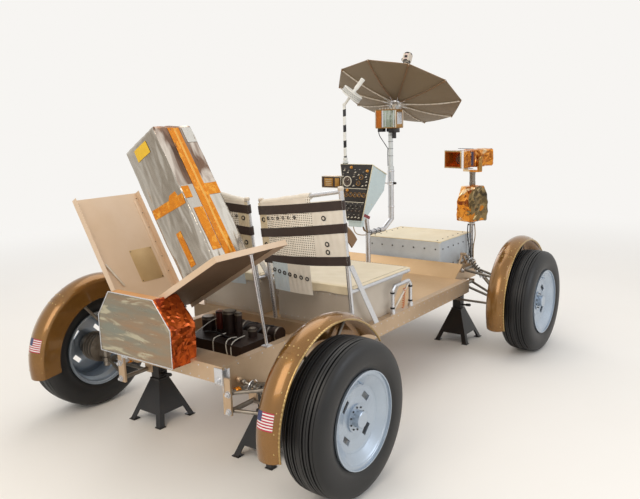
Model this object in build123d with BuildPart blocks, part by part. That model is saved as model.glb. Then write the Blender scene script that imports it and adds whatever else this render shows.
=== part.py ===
# Planetary rover for two riders, X forward, Y left, Z up, floor at Z zero, millimetres
from build123d import *
import math
import os

os.makedirs("parts", exist_ok=True)

# Wheels and axles
AXLE_X = 1143.0
WHEEL_Y = 914.0
HUB_Z = 350.0
TYRE_RADIUS = 350.0
TYRE_HALF_WIDTH = 105.0
RIM_FLANGE_RADIUS = 217.5
RIM_HALF_WIDTH = 101.0
SPINDLE_RADIUS = 20.0
RUNNING_GAP = 0.05
KINGPIN_Y = 780.0
KINGPIN_RADIUS = 14.0
ARM_RING_Z = (288.0, 458.0)
STEER_ARM_LENGTH = 140.0
DAMPER_TOP = {1: (1242.0, 389.0, 590.0), -1: (-1240.0, 402.0, 428.0)}
DAMPER_FOOT_Z = {1: 330.0, -1: 314.3}
STEER_PIN_Z = 320.0

# Fender sheet, radii from the axle and widths inboard of the wheel's centre plane
FENDER_SHEET = 3.0
FENDER_FRONT_ANGLE = 35.0
FENDER_REAR_ANGLE = {1: 198.0, -1: 188.0}

# Frames
RAIL_Y_OUT = 600.0
RAIL_Y_IN = 555.0
CENTER_X = (-605.0, 810.0)
RAIL_Z = (437.0, 523.0)
FLOOR_Z = 519.0
SHEET = 4.0
END_RAIL_Y = (320.0, 365.0)
FORWARD_X = 1450.0
FORWARD_Z = (400.0, 520.0)
AFT_X = -1340.0
WEB = 6.0
PIVOT_X = (1165.0, 1325.0)
PIVOT_Y = 392.0
PIVOT_Z = {1: (385.0, 500.0), -1: (310.0, 395.0)}

# Tilted pallet
PALLET_TILT = 30.6
PALLET_CORNER = (315.0, 628.0)
PALLET_BASE = 827.0
PALLET_WALL = 708.0

# High-gain antenna
MAST_X = 790.0
MAST_RADIUS = 16.0
DISH_RADIUS = 452.0
DISH_DEPTH = 75.0
DISH_TILT = 27.7
DISH_PIVOT = (854.0, 0.0, 1702.0)
DISH_VERTEX_GAP = 24.0
DISH_RIBS = 10
DISH_TURN = 18.0

# Television camera
CAMERA_AXIS = (1410.0, -345.0)
CAMERA_Z = 1312.0
CAMERA_YAW = 163.5

# Corner name, sign along X, sign along Y
CORNERS = (
    ("front_left", 1, 1),
    ("front_right", 1, -1),
    ("rear_left", -1, 1),
    ("rear_right", -1, -1),
)
SIDES = (1, -1)


def block(x_span, y_span, z_span, mode=Mode.ADD):
    """Add a square-cornered block between the ends of three spans."""
    centre = [(min(span) + max(span)) / 2 for span in (x_span, y_span, z_span)]
    size = [max(span) - min(span) for span in (x_span, y_span, z_span)]
    with Locations(tuple(centre)):
        Box(*size, mode=mode)


def rod(start, end, radius, mode=Mode.ADD):
    """Add a round bar between two points."""
    axis = Vector(*end) - Vector(*start)
    with Locations(Plane(origin=start, z_dir=axis).location):
        Cylinder(radius, axis.length, align=(Align.CENTER, Align.CENTER, Align.MIN), mode=mode)


def ball(centre, radius, mode=Mode.ADD):
    """Add a ball, for the bend between two round bars."""
    with Locations(centre):
        Sphere(radius, mode=mode)


def tube_run(points, radius):
    """Add round bars through a list of points, with a ball at each bend."""
    for start, end in zip(points[:-1], points[1:]):
        rod(start, end, radius)
    for point in points[1:-1]:
        ball(point, radius)


def wheel_axis(front, side):
    """Return the spin axis of one wheel, pointing outboard."""
    return Axis((front * AXLE_X, side * WHEEL_Y, HUB_Z), (0, side, 0))


def wheel_section(front, side):
    """Return the plane of a wheel's section: X outboard, Y the radius, upwards."""
    origin = (front * AXLE_X, side * WHEEL_Y, HUB_Z)
    return Plane(origin=origin, x_dir=(0, side, 0), z_dir=(side, 0, 0))


def pallet_plane():
    """Return the pallet's own plane: X forward, Y down its base, Z up its wall."""
    tilt = math.radians(PALLET_TILT)
    origin = (0, PALLET_CORNER[0], PALLET_CORNER[1])
    return Plane(origin=origin, x_dir=(1, 0, 0), z_dir=(0, math.sin(tilt), math.cos(tilt)))


def pallet_point(x, along_base, up_wall):
    """Return a point that is given in the pallet's own directions."""
    point = pallet_plane().from_local_coords((x, -along_base, up_wall))
    return (point.X, point.Y, point.Z)


# Middle frame with its side rails and crossbeams
with BuildPart() as center_frame:
    for side in SIDES:
        block(CENTER_X, (side * RAIL_Y_IN, side * RAIL_Y_OUT), RAIL_Z)
    block((CENTER_X[0], CENTER_X[0] + 40), (-RAIL_Y_IN, RAIL_Y_IN), (400, RAIL_Z[1]))
    for beam_x in (-100, 350):
        block((beam_x - 20, beam_x + 20), (-RAIL_Y_IN, RAIL_Y_IN), (447, FLOOR_Z - SHEET))
    block((770, CENTER_X[1]), (-RAIL_Y_IN, RAIL_Y_IN), (RAIL_Z[0], FLOOR_Z - SHEET))
center_frame.part.label = "center_frame"
export_step(center_frame.part, "parts/center_frame.step")

# Floor sheet with the rising toe board
TOE_BOARD = ((800, FLOOR_Z - SHEET), (800, FLOOR_Z), (923, 600), (925, 596))
with BuildPart() as floor_panel:
    block((CENTER_X[0] + 42, 800), (-553, 553), (FLOOR_Z - SHEET, FLOOR_Z))
    with BuildSketch(Plane.XZ.offset(-500)) as toe_profile:
        with BuildLine():
            Polyline(*TOE_BOARD, close=True)
        make_face()
    extrude(amount=1000)
floor_panel.part.label = "floor_panel"
export_step(floor_panel.part, "parts/floor_panel.step")

# Forward frame under the battery box, with the front suspension's lugs
with BuildPart() as forward_frame:
    for side in SIDES:
        block((CENTER_X[1], FORWARD_X), (side * END_RAIL_Y[0], side * END_RAIL_Y[1]), FORWARD_Z)
        for lug_x in (PIVOT_X[0] - 12, PIVOT_X[1]):
            for pivot_z in PIVOT_Z[1]:
                lug_z = (pivot_z - 17, pivot_z + 17)
                block((lug_x, lug_x + 12), (side * END_RAIL_Y[1], side * (PIVOT_Y + 15)), lug_z)
        apex = (1245, side * 345, 602)
        for tower_x in (PIVOT_X[0] + 4, PIVOT_X[1] - 4):
            rod((tower_x, side * 345, FORWARD_Z[1] - 8), apex, 8)
        rod((1245, side * 334, 602), (1245, side * 375, 602), 12)
    block((1405, FORWARD_X), (-END_RAIL_Y[0], END_RAIL_Y[0]), FORWARD_Z)
    block((1125, 1165), (-END_RAIL_Y[0], END_RAIL_Y[0]), (430, 510))
    for tow_y in (-150, 150):
        rod((1400, tow_y, 460), (1455, tow_y, 460), 8, mode=Mode.SUBTRACT)
forward_frame.part.label = "forward_frame"
export_step(forward_frame.part, "parts/forward_frame.step")

# Aft frame of bent channel, with the rear suspension's lugs
WEB_PROFILE = ((CENTER_X[0], 523), (CENTER_X[0], 400), (-1040, 345), (-1250, 375), (AFT_X, 437), (AFT_X, 523))
with BuildPart() as aft_frame:
    for side in SIDES:
        web_face = side * END_RAIL_Y[1]
        with BuildSketch(Plane.XZ.offset(-web_face)) as web_profile:
            with BuildLine():
                Polyline(*WEB_PROFILE, close=True)
            make_face()
        extrude(amount=side * WEB)
        block((AFT_X, CENTER_X[0]), (side * END_RAIL_Y[0], web_face), (523 - WEB, 523))
        for hanger_x, hanger_top in ((-PIVOT_X[0], 402), (-PIVOT_X[1] - 12, 470)):
            hanger_z = (PIVOT_Z[-1][0] - 17, hanger_top)
            block((hanger_x, hanger_x + 12), (web_face - side * WEB, side * (PIVOT_Y + 15)), hanger_z)
        ball((-1245, side * 376.3, DAMPER_TOP[-1][2] + 8), 14)
    block((AFT_X, AFT_X + 40), (-END_RAIL_Y[1] + WEB, END_RAIL_Y[1] - WEB), RAIL_Z)
    block((AFT_X, -1200), (-END_RAIL_Y[0], END_RAIL_Y[0]), (523 - WEB, 523))
aft_frame.part.label = "aft_frame"
export_step(aft_frame.part, "parts/aft_frame.step")

# Upper and lower arms from the frames to the kingpins
with BuildPart() as suspension_arms:
    for front in (1, -1):
        for side in SIDES:
            for pivot_z, ring_z in zip(PIVOT_Z[front], ARM_RING_Z):
                ring_centre = (front * AXLE_X, side * KINGPIN_Y, ring_z)
                pivot = [(front * x, side * PIVOT_Y, pivot_z) for x in PIVOT_X]
                rod(pivot[0], pivot[1], 12)
                for inner_x in (PIVOT_X[0] + 12, PIVOT_X[1] - 12):
                    leg = (front * inner_x, side * PIVOT_Y, pivot_z)
                    rod(leg, (front * AXLE_X, side * (KINGPIN_Y - 16), ring_z), 9)
                rod((ring_centre[0], ring_centre[1], ring_z - 12), (ring_centre[0], ring_centre[1], ring_z + 12), 24)
                hole = KINGPIN_RADIUS + RUNNING_GAP
                low = (ring_centre[0], ring_centre[1], ring_z - 40)
                high = (ring_centre[0], ring_centre[1], ring_z + 40)
                rod(low, high, hole, mode=Mode.SUBTRACT)
suspension_arms.part.label = "suspension_arms"
export_step(suspension_arms.part, "parts/suspension_arms.step")

# Spring dampers from the frame towers down to the lower arms
with BuildPart() as spring_dampers:
    for front in (1, -1):
        for side in SIDES:
            top = (DAMPER_TOP[front][0], side * DAMPER_TOP[front][1], DAMPER_TOP[front][2])
            foot = (front * 1158, side * 690, DAMPER_FOOT_Z[front])
            middle = [(a + b) / 2 for a, b in zip(top, foot)]
            rod(top, foot, 8)
            rod(middle, foot, 13)
            ball(top, 13)
            ball(foot, 14)
spring_dampers.part.label = "spring_dampers"
export_step(spring_dampers.part, "parts/spring_dampers.step")

# Tyre section: outboard distance and radius
TYRE_OUTER = ((88, 205), (88, 219), (TYRE_HALF_WIDTH, 272), (101, 324), (84, 343), (0, TYRE_RADIUS))
TYRE_INNER = ((-76, 205), (-92, 262), (-74, 334))
RIM_OUTER = ((101, 217.5), (91, 217.5), (88, 214), (88, 205), (64, 203), (46, 186))
RIM_INNER = ((-101, 212.5), (-93, 212.5), (-92, 201), (-67, 198), (-49, 181))
DISC_PROFILE = (
    (92, 201), (84, 190), (60, 150), (56, 140), (49, 96), (49, 62), (57, 62), (57, 38),
    (86, 37), (89, 33), (89, 0), (81, 0), (81, SPINDLE_RADIUS + RUNNING_GAP),
    (41, SPINDLE_RADIUS + RUNNING_GAP), (41, 96), (48, 142), (52, 153), (67, 181), (67, 199),
)


for corner, front, side in CORNERS:
    spin = wheel_axis(front, side)
    mirrored = [(-x, y) for x, y in reversed(TYRE_OUTER[:-1])]
    inner_mirrored = [(-x, y) for x, y in reversed(TYRE_INNER)]
    with BuildPart() as tyre:
        with BuildSketch(wheel_section(front, side)):
            with BuildLine():
                Polyline(*TYRE_OUTER, *mirrored, *TYRE_INNER, *inner_mirrored, close=True)
            make_face()
        revolve(axis=spin)
    tyre.part.label = f"{corner}_tyre"
    export_step(tyre.part, f"parts/{corner}_tyre.step")

for corner, front, side in CORNERS:
    spin = wheel_axis(front, side)
    rim_mirrored = [(-x, y) for x, y in reversed(RIM_OUTER)]
    rim_inner_mirrored = [(-x, y) for x, y in reversed(RIM_INNER)]
    with BuildPart() as rim:
        with BuildSketch(wheel_section(front, side)):
            with BuildLine():
                Polyline(*RIM_OUTER, *rim_mirrored, *RIM_INNER, *rim_inner_mirrored, close=True)
            make_face()
            with BuildLine():
                Polyline(*DISC_PROFILE, close=True)
            make_face()
        revolve(axis=spin)
        slot_plane = Plane(
            origin=(front * AXLE_X, side * (WHEEL_Y + 30), HUB_Z), x_dir=(1, 0, 0), z_dir=(0, side, 0)
        )
        with BuildSketch(slot_plane):
            with PolarLocations(108, 4, start_angle=45):
                Rectangle(26, 56)
        extrude(amount=50, mode=Mode.SUBTRACT)
    rim.part.label = f"{corner}_rim"
    export_step(rim.part, f"parts/{corner}_rim.step")

# Kingpin, drive drum, spindle, steering arm and the two fender stays
for corner, front, side in CORNERS:
    pin_x = front * AXLE_X
    pin_y = side * KINGPIN_Y
    arm_x = front * (AXLE_X - STEER_ARM_LENGTH)
    with BuildPart() as knuckle:
        rod((pin_x, pin_y, 262), (pin_x, pin_y, 484), KINGPIN_RADIUS)
        rod((pin_x, pin_y, 256), (pin_x, pin_y, ARM_RING_Z[0] - 16), 19)
        rod((pin_x, pin_y, ARM_RING_Z[1] + 16), (pin_x, pin_y, 500), 19)
        rod((pin_x, pin_y, ARM_RING_Z[0] + 16), (pin_x, pin_y, ARM_RING_Z[1] - 16), 22)
        bracket_z = (ARM_RING_Z[0] + 20, ARM_RING_Z[1] - 20)
        block((pin_x - 30, pin_x + 30), (pin_y, side * 815), bracket_z)
        rod((pin_x, side * 812, HUB_Z), (pin_x, side * 900, HUB_Z), 82)
        rod((pin_x, side * 900, HUB_Z), (pin_x, side * 944, HUB_Z), 60)
        rod((pin_x, side * 944, HUB_Z), (pin_x, side * (WHEEL_Y + 78), HUB_Z), SPINDLE_RADIUS)
        block((arm_x - front * 12, pin_x), (pin_y - 11, pin_y + 11), (STEER_PIN_Z + 11, STEER_PIN_Z + 25))
        rod((arm_x, pin_y, STEER_PIN_Z - 8), (arm_x, pin_y, STEER_PIN_Z + 14), 7)
        rod((arm_x, pin_y, STEER_PIN_Z - 10), (arm_x, pin_y, STEER_PIN_Z - 4.3), 10.5)
        for stay_angle in (62, 118):
            reach = 423
            stay_x = pin_x + reach * math.cos(math.radians(stay_angle))
            stay_z = HUB_Z + reach * math.sin(math.radians(stay_angle))
            rod((pin_x, pin_y, 490), (stay_x, pin_y, stay_z), 9)
    knuckle.part.label = f"{corner}_knuckle"
    export_step(knuckle.part, f"parts/{corner}_knuckle.step")

# Fender over each wheel, carried by its knuckle
FENDER_POINTS = ((34, 418), (84, 443), (146, 425), (158, 402), (160, 312), (152, 306))
for corner, front, side in CORNERS:
    first = math.radians(FENDER_FRONT_ANGLE)
    start_dir = (math.cos(first), 0, math.sin(first))
    normal = (-side * math.sin(first), 0, side * math.cos(first))
    origin = (front * AXLE_X, side * WHEEL_Y, HUB_Z)
    section = Plane(origin=origin, x_dir=(0, -side, 0), z_dir=normal)
    spin = Axis(origin, (0, -1, 0))
    sweep_angle = FENDER_REAR_ANGLE[front] - FENDER_FRONT_ANGLE
    edge, crown, shoulder, corner_low, wall_low, lip = FENDER_POINTS
    with BuildPart() as fender:
        with BuildSketch(section):
            with BuildLine():
                ThreePointArc(edge, crown, shoulder)
                ThreePointArc(shoulder, (154.5, 416), corner_low)
                Polyline(corner_low, wall_low, lip, (150, 309), (157, 314))
                Line((157, 314), (155, 401))
                ThreePointArc((155, 401), (151.8, 413.5), (145, 422))
                ThreePointArc((145, 422), (84, 440), (35, 415.2))
                Line((35, 415.2), edge)
            make_face()
            with Locations((34, 417)):
                Circle(5)
        revolve(axis=spin, revolution_arc=sweep_angle)
    fender.part.label = f"{corner}_fender"
    export_step(fender.part, f"parts/{corner}_fender.step")

# Tie rods with open eyes around the steering arms' pins
for rod_name, front in (("front_tie_rod", 1), ("rear_tie_rod", -1)):
    rod_x = front * (AXLE_X - STEER_ARM_LENGTH)
    with BuildPart() as tie_rod:
        rod((rod_x, -KINGPIN_Y + 15, STEER_PIN_Z), (rod_x, KINGPIN_Y - 15, STEER_PIN_Z), 8)
        for side in SIDES:
            eye = Plane.XY.offset(STEER_PIN_Z - 4)
            with BuildSketch(eye):
                with Locations((rod_x + front * 5, side * KINGPIN_Y)):
                    SlotCenterToCenter(12, 33)
            extrude(amount=8)
            with BuildSketch(eye.offset(-10)):
                with Locations((rod_x + front * 5, side * KINGPIN_Y)):
                    SlotCenterToCenter(12, 15.6)
            extrude(amount=30, mode=Mode.SUBTRACT)
    tie_rod.part.label = rod_name
    export_step(tie_rod.part, f"parts/{rod_name}.step")

# Four axle stands that hold the frames, each a tapered shell with a saddle
STAND_X = 1080.0
STAND_Y = 395.0
with BuildPart() as axle_stands:
    for front, saddle_z in ((1, FORWARD_Z[0]), (-1, 344.5)):
        for side in SIDES:
            centre_x = front * STAND_X
            centre_y = side * STAND_Y
            shell_top = 235
            foot_plane = Plane(origin=(centre_x, centre_y, 0))
            for foot, head, mode in ((250, 70, Mode.ADD), (238, 58, Mode.SUBTRACT)):
                with BuildSketch(foot_plane):
                    Rectangle(foot, foot)
                with BuildSketch(foot_plane.offset(shell_top)):
                    Rectangle(head, head)
                loft(mode=mode)
            for facing in ((1, 0, 0), (0, -1, 0)):
                across = (0, 1, 0) if facing[0] else (1, 0, 0)
                cut_plane = Plane(origin=(centre_x, centre_y, 0), x_dir=across, z_dir=facing)
                with BuildSketch(cut_plane):
                    with BuildLine():
                        Polyline((-92, -1), (92, -1), (68, 62), (-68, 62), close=True)
                    make_face()
                extrude(amount=140, both=True, mode=Mode.SUBTRACT)
            block((centre_x - 30, centre_x + 30), (centre_y - 30, centre_y + 30), (shell_top - 30, saddle_z - 12))
            block((centre_x - 50, centre_x + 50), (centre_y - 65, centre_y + 65), (saddle_z - 12, saddle_z))
            lever_z = shell_top + 22
            rod((centre_x, centre_y, lever_z), (centre_x, centre_y - 95, lever_z + 8), 7)
axle_stands.part.label = "axle_stands"
export_step(axle_stands.part, "parts/axle_stands.step")

# Battery box in its fitted cover
with BuildPart() as battery_box:
    block((955, 1460), (-310, 310), (FORWARD_Z[1], 740))
    fillet(battery_box.edges().filter_by(Axis.Z), radius=22)
    fillet(battery_box.faces().sort_by(Axis.Z)[-1].edges(), radius=14)
battery_box.part.label = "battery_box"
export_step(battery_box.part, "parts/battery_box.step")

# Drive equipment in the bay between the aft rails
with BuildPart() as aft_tray:
    block((-1290, CENTER_X[0] - 5), (-359, 359), (440, 446))
aft_tray.part.label = "aft_tray"
export_step(aft_tray.part, "parts/aft_tray.step")

with BuildPart() as drive_units:
    block((-1045, -810), (-205, 205), (446, 502))
    for unit_x, unit_y, unit_radius, unit_top in (
        (-880, 92, 26, 612), (-880, 24, 39, 622), (-880, -40, 20, 620), (-900, 165, 37, 575), (-870, -130, 24, 545)
    ):
        rod((unit_x, unit_y, 500), (unit_x, unit_y, unit_top), unit_radius)
    rod((-735, -210, 487), (-735, 150, 487), 41)
    rod((-960, 40, 506), (-960, -120, 506), 6)
    block((-775, -695), (-160, 100), (446, 470))
drive_units.part.label = "drive_units"
export_step(drive_units.part, "parts/drive_units.step")

# Tilted pallet: base, wall and their turned edges
base_plane = pallet_plane()
BASE_X = (-1383.0, -893.0)
WALL_X = (-1340.0, -926.0)
with BuildPart() as pallet:
    with BuildSketch(base_plane.offset(-6)):
        with Locations(((BASE_X[0] + BASE_X[1]) / 2, -PALLET_BASE / 2)):
            Rectangle(BASE_X[1] - BASE_X[0], PALLET_BASE)
    extrude(amount=6)
    for edge_x in (BASE_X[0] + 1.5, BASE_X[1] - 1.5):
        with BuildSketch(base_plane.offset(-28)):
            with Locations((edge_x, -PALLET_BASE / 2)):
                Rectangle(3, PALLET_BASE)
        extrude(amount=28)
    with BuildSketch(base_plane.offset(-28)):
        with Locations(((BASE_X[0] + BASE_X[1]) / 2, -PALLET_BASE + 1.5)):
            Rectangle(BASE_X[1] - BASE_X[0], 3)
    extrude(amount=28)
    with BuildSketch(base_plane.offset(-6)):
        with Locations(((WALL_X[0] + WALL_X[1]) / 2, 2.5)):
            Rectangle(WALL_X[1] - WALL_X[0], 5)
    extrude(amount=PALLET_WALL + 6)
    for edge_x in (WALL_X[0] + 1.5, WALL_X[1] - 1.5):
        with BuildSketch(base_plane):
            with Locations((edge_x, -15)):
                Rectangle(3, 32)
        extrude(amount=PALLET_WALL)
pallet.part.label = "pallet"
export_step(pallet.part, "parts/pallet.step")

with BuildPart() as pallet_struts:
    strut_top = pallet_point(-1111, 780, -18)
    rod((-1002, -343, 533), strut_top, 8)
    block((-1022, -982), (-362, -323), (523, 529))
    with BuildSketch(base_plane.offset(-22)):
        with Locations((-1111, -780)):
            Circle(15)
        for post_x in (-1272, -960):
            with Locations((post_x, -16)):
                Circle(15)
    extrude(amount=16)
    for post_x in (-1272, -960):
        post_top = pallet_point(post_x, 16, -18)
        rod((post_x, 343, 528), post_top, 10)
        block((post_x - 20, post_x + 20), (323, 358), (523, 529))
pallet_struts.part.label = "pallet_struts"
export_step(pallet_struts.part, "parts/pallet_struts.step")

# Foil-wrapped equipment box standing on the pallet's base
with BuildPart() as foil_box:
    with BuildSketch(base_plane):
        with Locations((-1022, -442)):
            Rectangle(256, 274)
    extrude(amount=806)
    fillet(foil_box.edges(), radius=9)
foil_box.part.label = "foil_box"
export_step(foil_box.part, "parts/foil_box.step")

# Mirror-faced box on the rear crossmember
HEXAGON = ((284, 820), (-45, 820), (-154, 688), (-154, 505), (379, 505), (379, 690))
with BuildPart() as mirror_box:
    with BuildSketch(Plane(origin=(-1450, 0, 0), x_dir=(0, 1, 0), z_dir=(1, 0, 0))):
        with BuildLine():
            Polyline(*HEXAGON, close=True)
        make_face()
    extrude(amount=155)
    block((AFT_X, -1290), (-160, 385), (500, 523), mode=Mode.SUBTRACT)
    with BuildSketch(base_plane.offset(-32)):
        with Locations((-1335, -400)):
            Rectangle(100, 1000)
    extrude(amount=420, mode=Mode.SUBTRACT)
mirror_box.part.label = "mirror_box"
export_step(mirror_box.part, "parts/mirror_box.step")

# Seats: frames, under-seat bins, pans and backs
POST_FOOT = (-588.0, 523.0)
POST_TOP = (-680.0, 1290.0)
SEAT_Y = (52.0, 586.0)


def post_x_at(height):
    """Return the seat post's X at a height."""
    share = (height - POST_FOOT[1]) / (POST_TOP[1] - POST_FOOT[1])
    return POST_FOOT[0] + share * (POST_TOP[0] - POST_FOOT[0])


BRACE_Y = (35.5, 597.5)
with BuildPart() as seat_frames:
    for side in SIDES:
        outer_y = side * SEAT_Y[1]
        inner_y = side * SEAT_Y[0]
        rod((POST_FOOT[0], outer_y, 524.4), (POST_TOP[0], outer_y, 1290), 12.5)
        rod((POST_FOOT[0], inner_y, 524.4), (post_x_at(1200), inner_y, 1200), 12.5)
        rod((post_x_at(1272), outer_y, 1272), (post_x_at(1188), inner_y, 1188), 11)
        pan_back = post_x_at(745)
        tube_run(((pan_back, outer_y, 745), (-8, outer_y, 745), (-8, inner_y, 745), (pan_back, inner_y, 745)), 12.5)
        for brace_y in (BRACE_Y[0], BRACE_Y[1]):
            with BuildSketch(Plane.XZ.offset(-side * brace_y)):
                with BuildLine():
                    Polyline((-640, 888), (-604, 888), (-362, 525), (-405, 525), close=True)
                make_face()
            extrude(amount=-side * 5)
seat_frames.part.label = "seat_frames"
export_step(seat_frames.part, "parts/seat_frames.step")

BIN_PROFILE = ((-572, 732), (-4, 732), (-4, 716), (-170, FLOOR_Z), (-562, FLOOR_Z), (-562, 540), (-572, 540))
with BuildPart() as seat_bins:
    for side in SIDES:
        with BuildSketch(Plane.XZ.offset(-side * 68)):
            with BuildLine():
                Polyline(*BIN_PROFILE, close=True)
            make_face()
        extrude(amount=-side * 484)
seat_bins.part.label = "seat_bins"
export_step(seat_bins.part, "parts/seat_bins.step")

with BuildPart() as seat_pans:
    for side in SIDES:
        block((-592, 2), (side * 42, side * 596), (757.6, 766))
    fillet(seat_pans.edges().filter_by(Axis.Z), radius=12)
seat_pans.part.label = "seat_pans"
export_step(seat_pans.part, "parts/seat_pans.step")

with BuildPart() as seat_backs:
    lean = math.atan2(POST_FOOT[0] - POST_TOP[0], POST_TOP[1] - POST_FOOT[1])
    back_plane = Plane(
        origin=(post_x_at(700), 0, 700), x_dir=(0, -1, 0), z_dir=(-math.sin(lean), 0, math.cos(lean))
    )
    with BuildSketch(back_plane):
        for side in SIDES:
            inner, middle, outer = [side * y for y in (40, 319, 599)]
            with BuildLine():
                ThreePointArc((inner, -10.1), (middle, -48.1), (outer, -10.1))
                Line((outer, -10.1), (outer, -18.1))
                ThreePointArc((outer, -18.1), (middle, -56.1), (inner, -18.1))
                Line((inner, -18.1), (inner, -10.1))
            make_face()
    extrude(amount=620)
    with BuildSketch(Plane(origin=(-900, 0, 0), x_dir=(0, 1, 0), z_dir=(1, 0, 0))):
        for side in SIDES:
            with BuildLine():
                Polyline((side * 30, 1204), (side * 610, 1291), (side * 610, 1400), (side * 30, 1400), close=True)
            make_face()
    extrude(amount=400, mode=Mode.SUBTRACT)
seat_backs.part.label = "seat_backs"
export_step(seat_backs.part, "parts/seat_backs.step")

# Handholds on the side rails
with BuildPart() as handholds:
    for side in SIDES:
        hold_y = side * 582
        points = ((-181, hold_y, 523), (-181, hold_y, 660), (-160, hold_y, 681), (3, hold_y, 681), (24, hold_y, 660))
        tube_run(points + ((24, hold_y, 523),), 11)
        rod((-178, hold_y, 535), (8, hold_y, 672), 6)
        for foot_x in (-181, 24):
            rod((foot_x, hold_y, 523), (foot_x, hold_y, 545), 16)
handholds.part.label = "handholds"
export_step(handholds.part, "parts/handholds.step")

# Console stand with the pipe that carries the high-gain mast
with BuildPart() as console_stand:
    rod((477, 0, FLOOR_Z), (477, 0, FLOOR_Z + 8), 50)
    tube_run(((477, 0, FLOOR_Z), (477, 0, 850), (688, 0, 850), (MAST_X, 0, 905), (MAST_X, 0, 1000)), 17)
    rod((477, 0, 850), (440, 0, 1036), 16)
    rod((MAST_X, 0, 905), (MAST_X, 0, 1160), 20)
    rod((MAST_X, 0, 1160), (MAST_X, 0, 1260), 23)
    rod((MAST_X, -34, 1166), (MAST_X, 62, 1166), 5)
    rod((MAST_X, 0, 960), (MAST_X, 0, 1270), MAST_RADIUS + RUNNING_GAP, mode=Mode.SUBTRACT)
console_stand.part.label = "console_stand"
export_step(console_stand.part, "parts/console_stand.step")

# Console: side profile in X and Z, narrowing towards its foot
CONSOLE_PROFILE = ((310, 950), (350, 1330), (540, 1250), (540, 1140), (332, 947))
CONSOLE_FRONT = ((-129, 1340), (129, 1340), (60, 958), (60, 940), (-60, 940), (-60, 958))
with BuildPart() as console_body:
    with BuildSketch(Plane.XZ.offset(-140)):
        with BuildLine():
            Polyline(*CONSOLE_PROFILE, close=True)
        make_face()
    extrude(amount=280)
    with BuildSketch(Plane(origin=(300, 0, 0), x_dir=(0, 1, 0), z_dir=(1, 0, 0))):
        with BuildLine():
            Polyline(*CONSOLE_FRONT, close=True)
        make_face()
    extrude(amount=260, mode=Mode.INTERSECT)
    rod((380, 110, 1296), (380, 110, 1345), 17)
    block((316, 352), (-50, 50), (916, 968))
    rod((380, 110, 1322), (380, 110, 1350), 9 + RUNNING_GAP, mode=Mode.SUBTRACT)
console_body.part.label = "console_body"
export_step(console_body.part, "parts/console_body.step")

PANEL_RISE = math.hypot(40, 380)
PANEL_POINTS = ((-124, 379), (124, 379), (56, 10), (-56, 10))
with BuildPart() as console_panel:
    panel_normal = (-380 / PANEL_RISE, 0, 40 / PANEL_RISE)
    with BuildSketch(Plane(origin=(310, 0, 950), x_dir=(0, -1, 0), z_dir=panel_normal)):
        with BuildLine():
            Polyline(*PANEL_POINTS, close=True)
        make_face()
    extrude(amount=6)
console_panel.part.label = "console_panel"
export_step(console_panel.part, "parts/console_panel.step")

with BuildPart() as console_side_unit:
    block((352, 402), (130, 292), (1165, 1243))
    block((366, 392), (108, 130), (1185, 1223))
console_side_unit.part.label = "console_side_unit"
export_step(console_side_unit.part, "parts/console_side_unit.step")

# High-gain antenna: mast, electronics box, umbrella dish and feed
with BuildPart() as high_gain_mast:
    rod((MAST_X, 0, 962), (MAST_X, 0, 1555), MAST_RADIUS)
    rod((MAST_X, 0, 1262), (MAST_X, 0, 1285), 22)
    for ear_y in (-26, 20):
        block((822, 862), (ear_y, ear_y + 6), (1655, 1709))
    block((822, 828), (-26, 26), (1655, 1680))
    rod((DISH_PIVOT[0], -28, DISH_PIVOT[2]), (DISH_PIVOT[0], 28, DISH_PIVOT[2]), 6)
high_gain_mast.part.label = "high_gain_mast"
export_step(high_gain_mast.part, "parts/high_gain_mast.step")

with BuildPart() as high_gain_electronics:
    block((722, 822), (-80, 80), (1555, 1680))
    block((735, 810), (-60, -18), (1525, 1555))
    block((735, 770), (30, 70), (1532, 1555))
high_gain_electronics.part.label = "high_gain_electronics"
export_step(high_gain_electronics.part, "parts/high_gain_electronics.step")

tilt = math.radians(DISH_TILT)
dish_normal = (math.sin(tilt), 0, math.cos(tilt))
vertex = (
    DISH_PIVOT[0] + DISH_VERTEX_GAP * dish_normal[0],
    0,
    DISH_PIVOT[2] + DISH_VERTEX_GAP * dish_normal[2],
)
dish_plane = Plane(origin=vertex, x_dir=(0, 1, 0), z_dir=dish_normal)
dish_side = Plane(origin=vertex, x_dir=(0, 1, 0), z_dir=dish_plane.x_dir.cross(Vector(*dish_normal)))
dish_axis = Axis(vertex, dish_normal)


def dish_section(inner_radius, low, thickness):
    """Return the lower and upper points of the dish's shell, from the hub out to the rim."""
    radii = (inner_radius, (inner_radius + DISH_RADIUS) / 2, DISH_RADIUS)
    lower = [(radius, DISH_DEPTH * (radius / DISH_RADIUS) ** 2 + low) for radius in radii]
    upper = [(radius, height + thickness) for radius, height in lower]
    return lower, upper


lower, upper = dish_section(20, 6, 2)
with BuildPart() as high_gain_mesh:
    with BuildSketch(dish_side):
        with BuildLine():
            ThreePointArc(*lower)
            Line(lower[-1], upper[-1])
            ThreePointArc(*reversed(upper))
            Line(upper[0], lower[0])
        make_face()
    revolve(axis=dish_axis)
    with BuildSketch(dish_plane.offset(-20)):
        RegularPolygon(DISH_RADIUS, DISH_RIBS, rotation=DISH_TURN)
    extrude(amount=140, mode=Mode.INTERSECT)
high_gain_mesh.part.label = "high_gain_mesh"
export_step(high_gain_mesh.part, "parts/high_gain_mesh.step")

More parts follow.
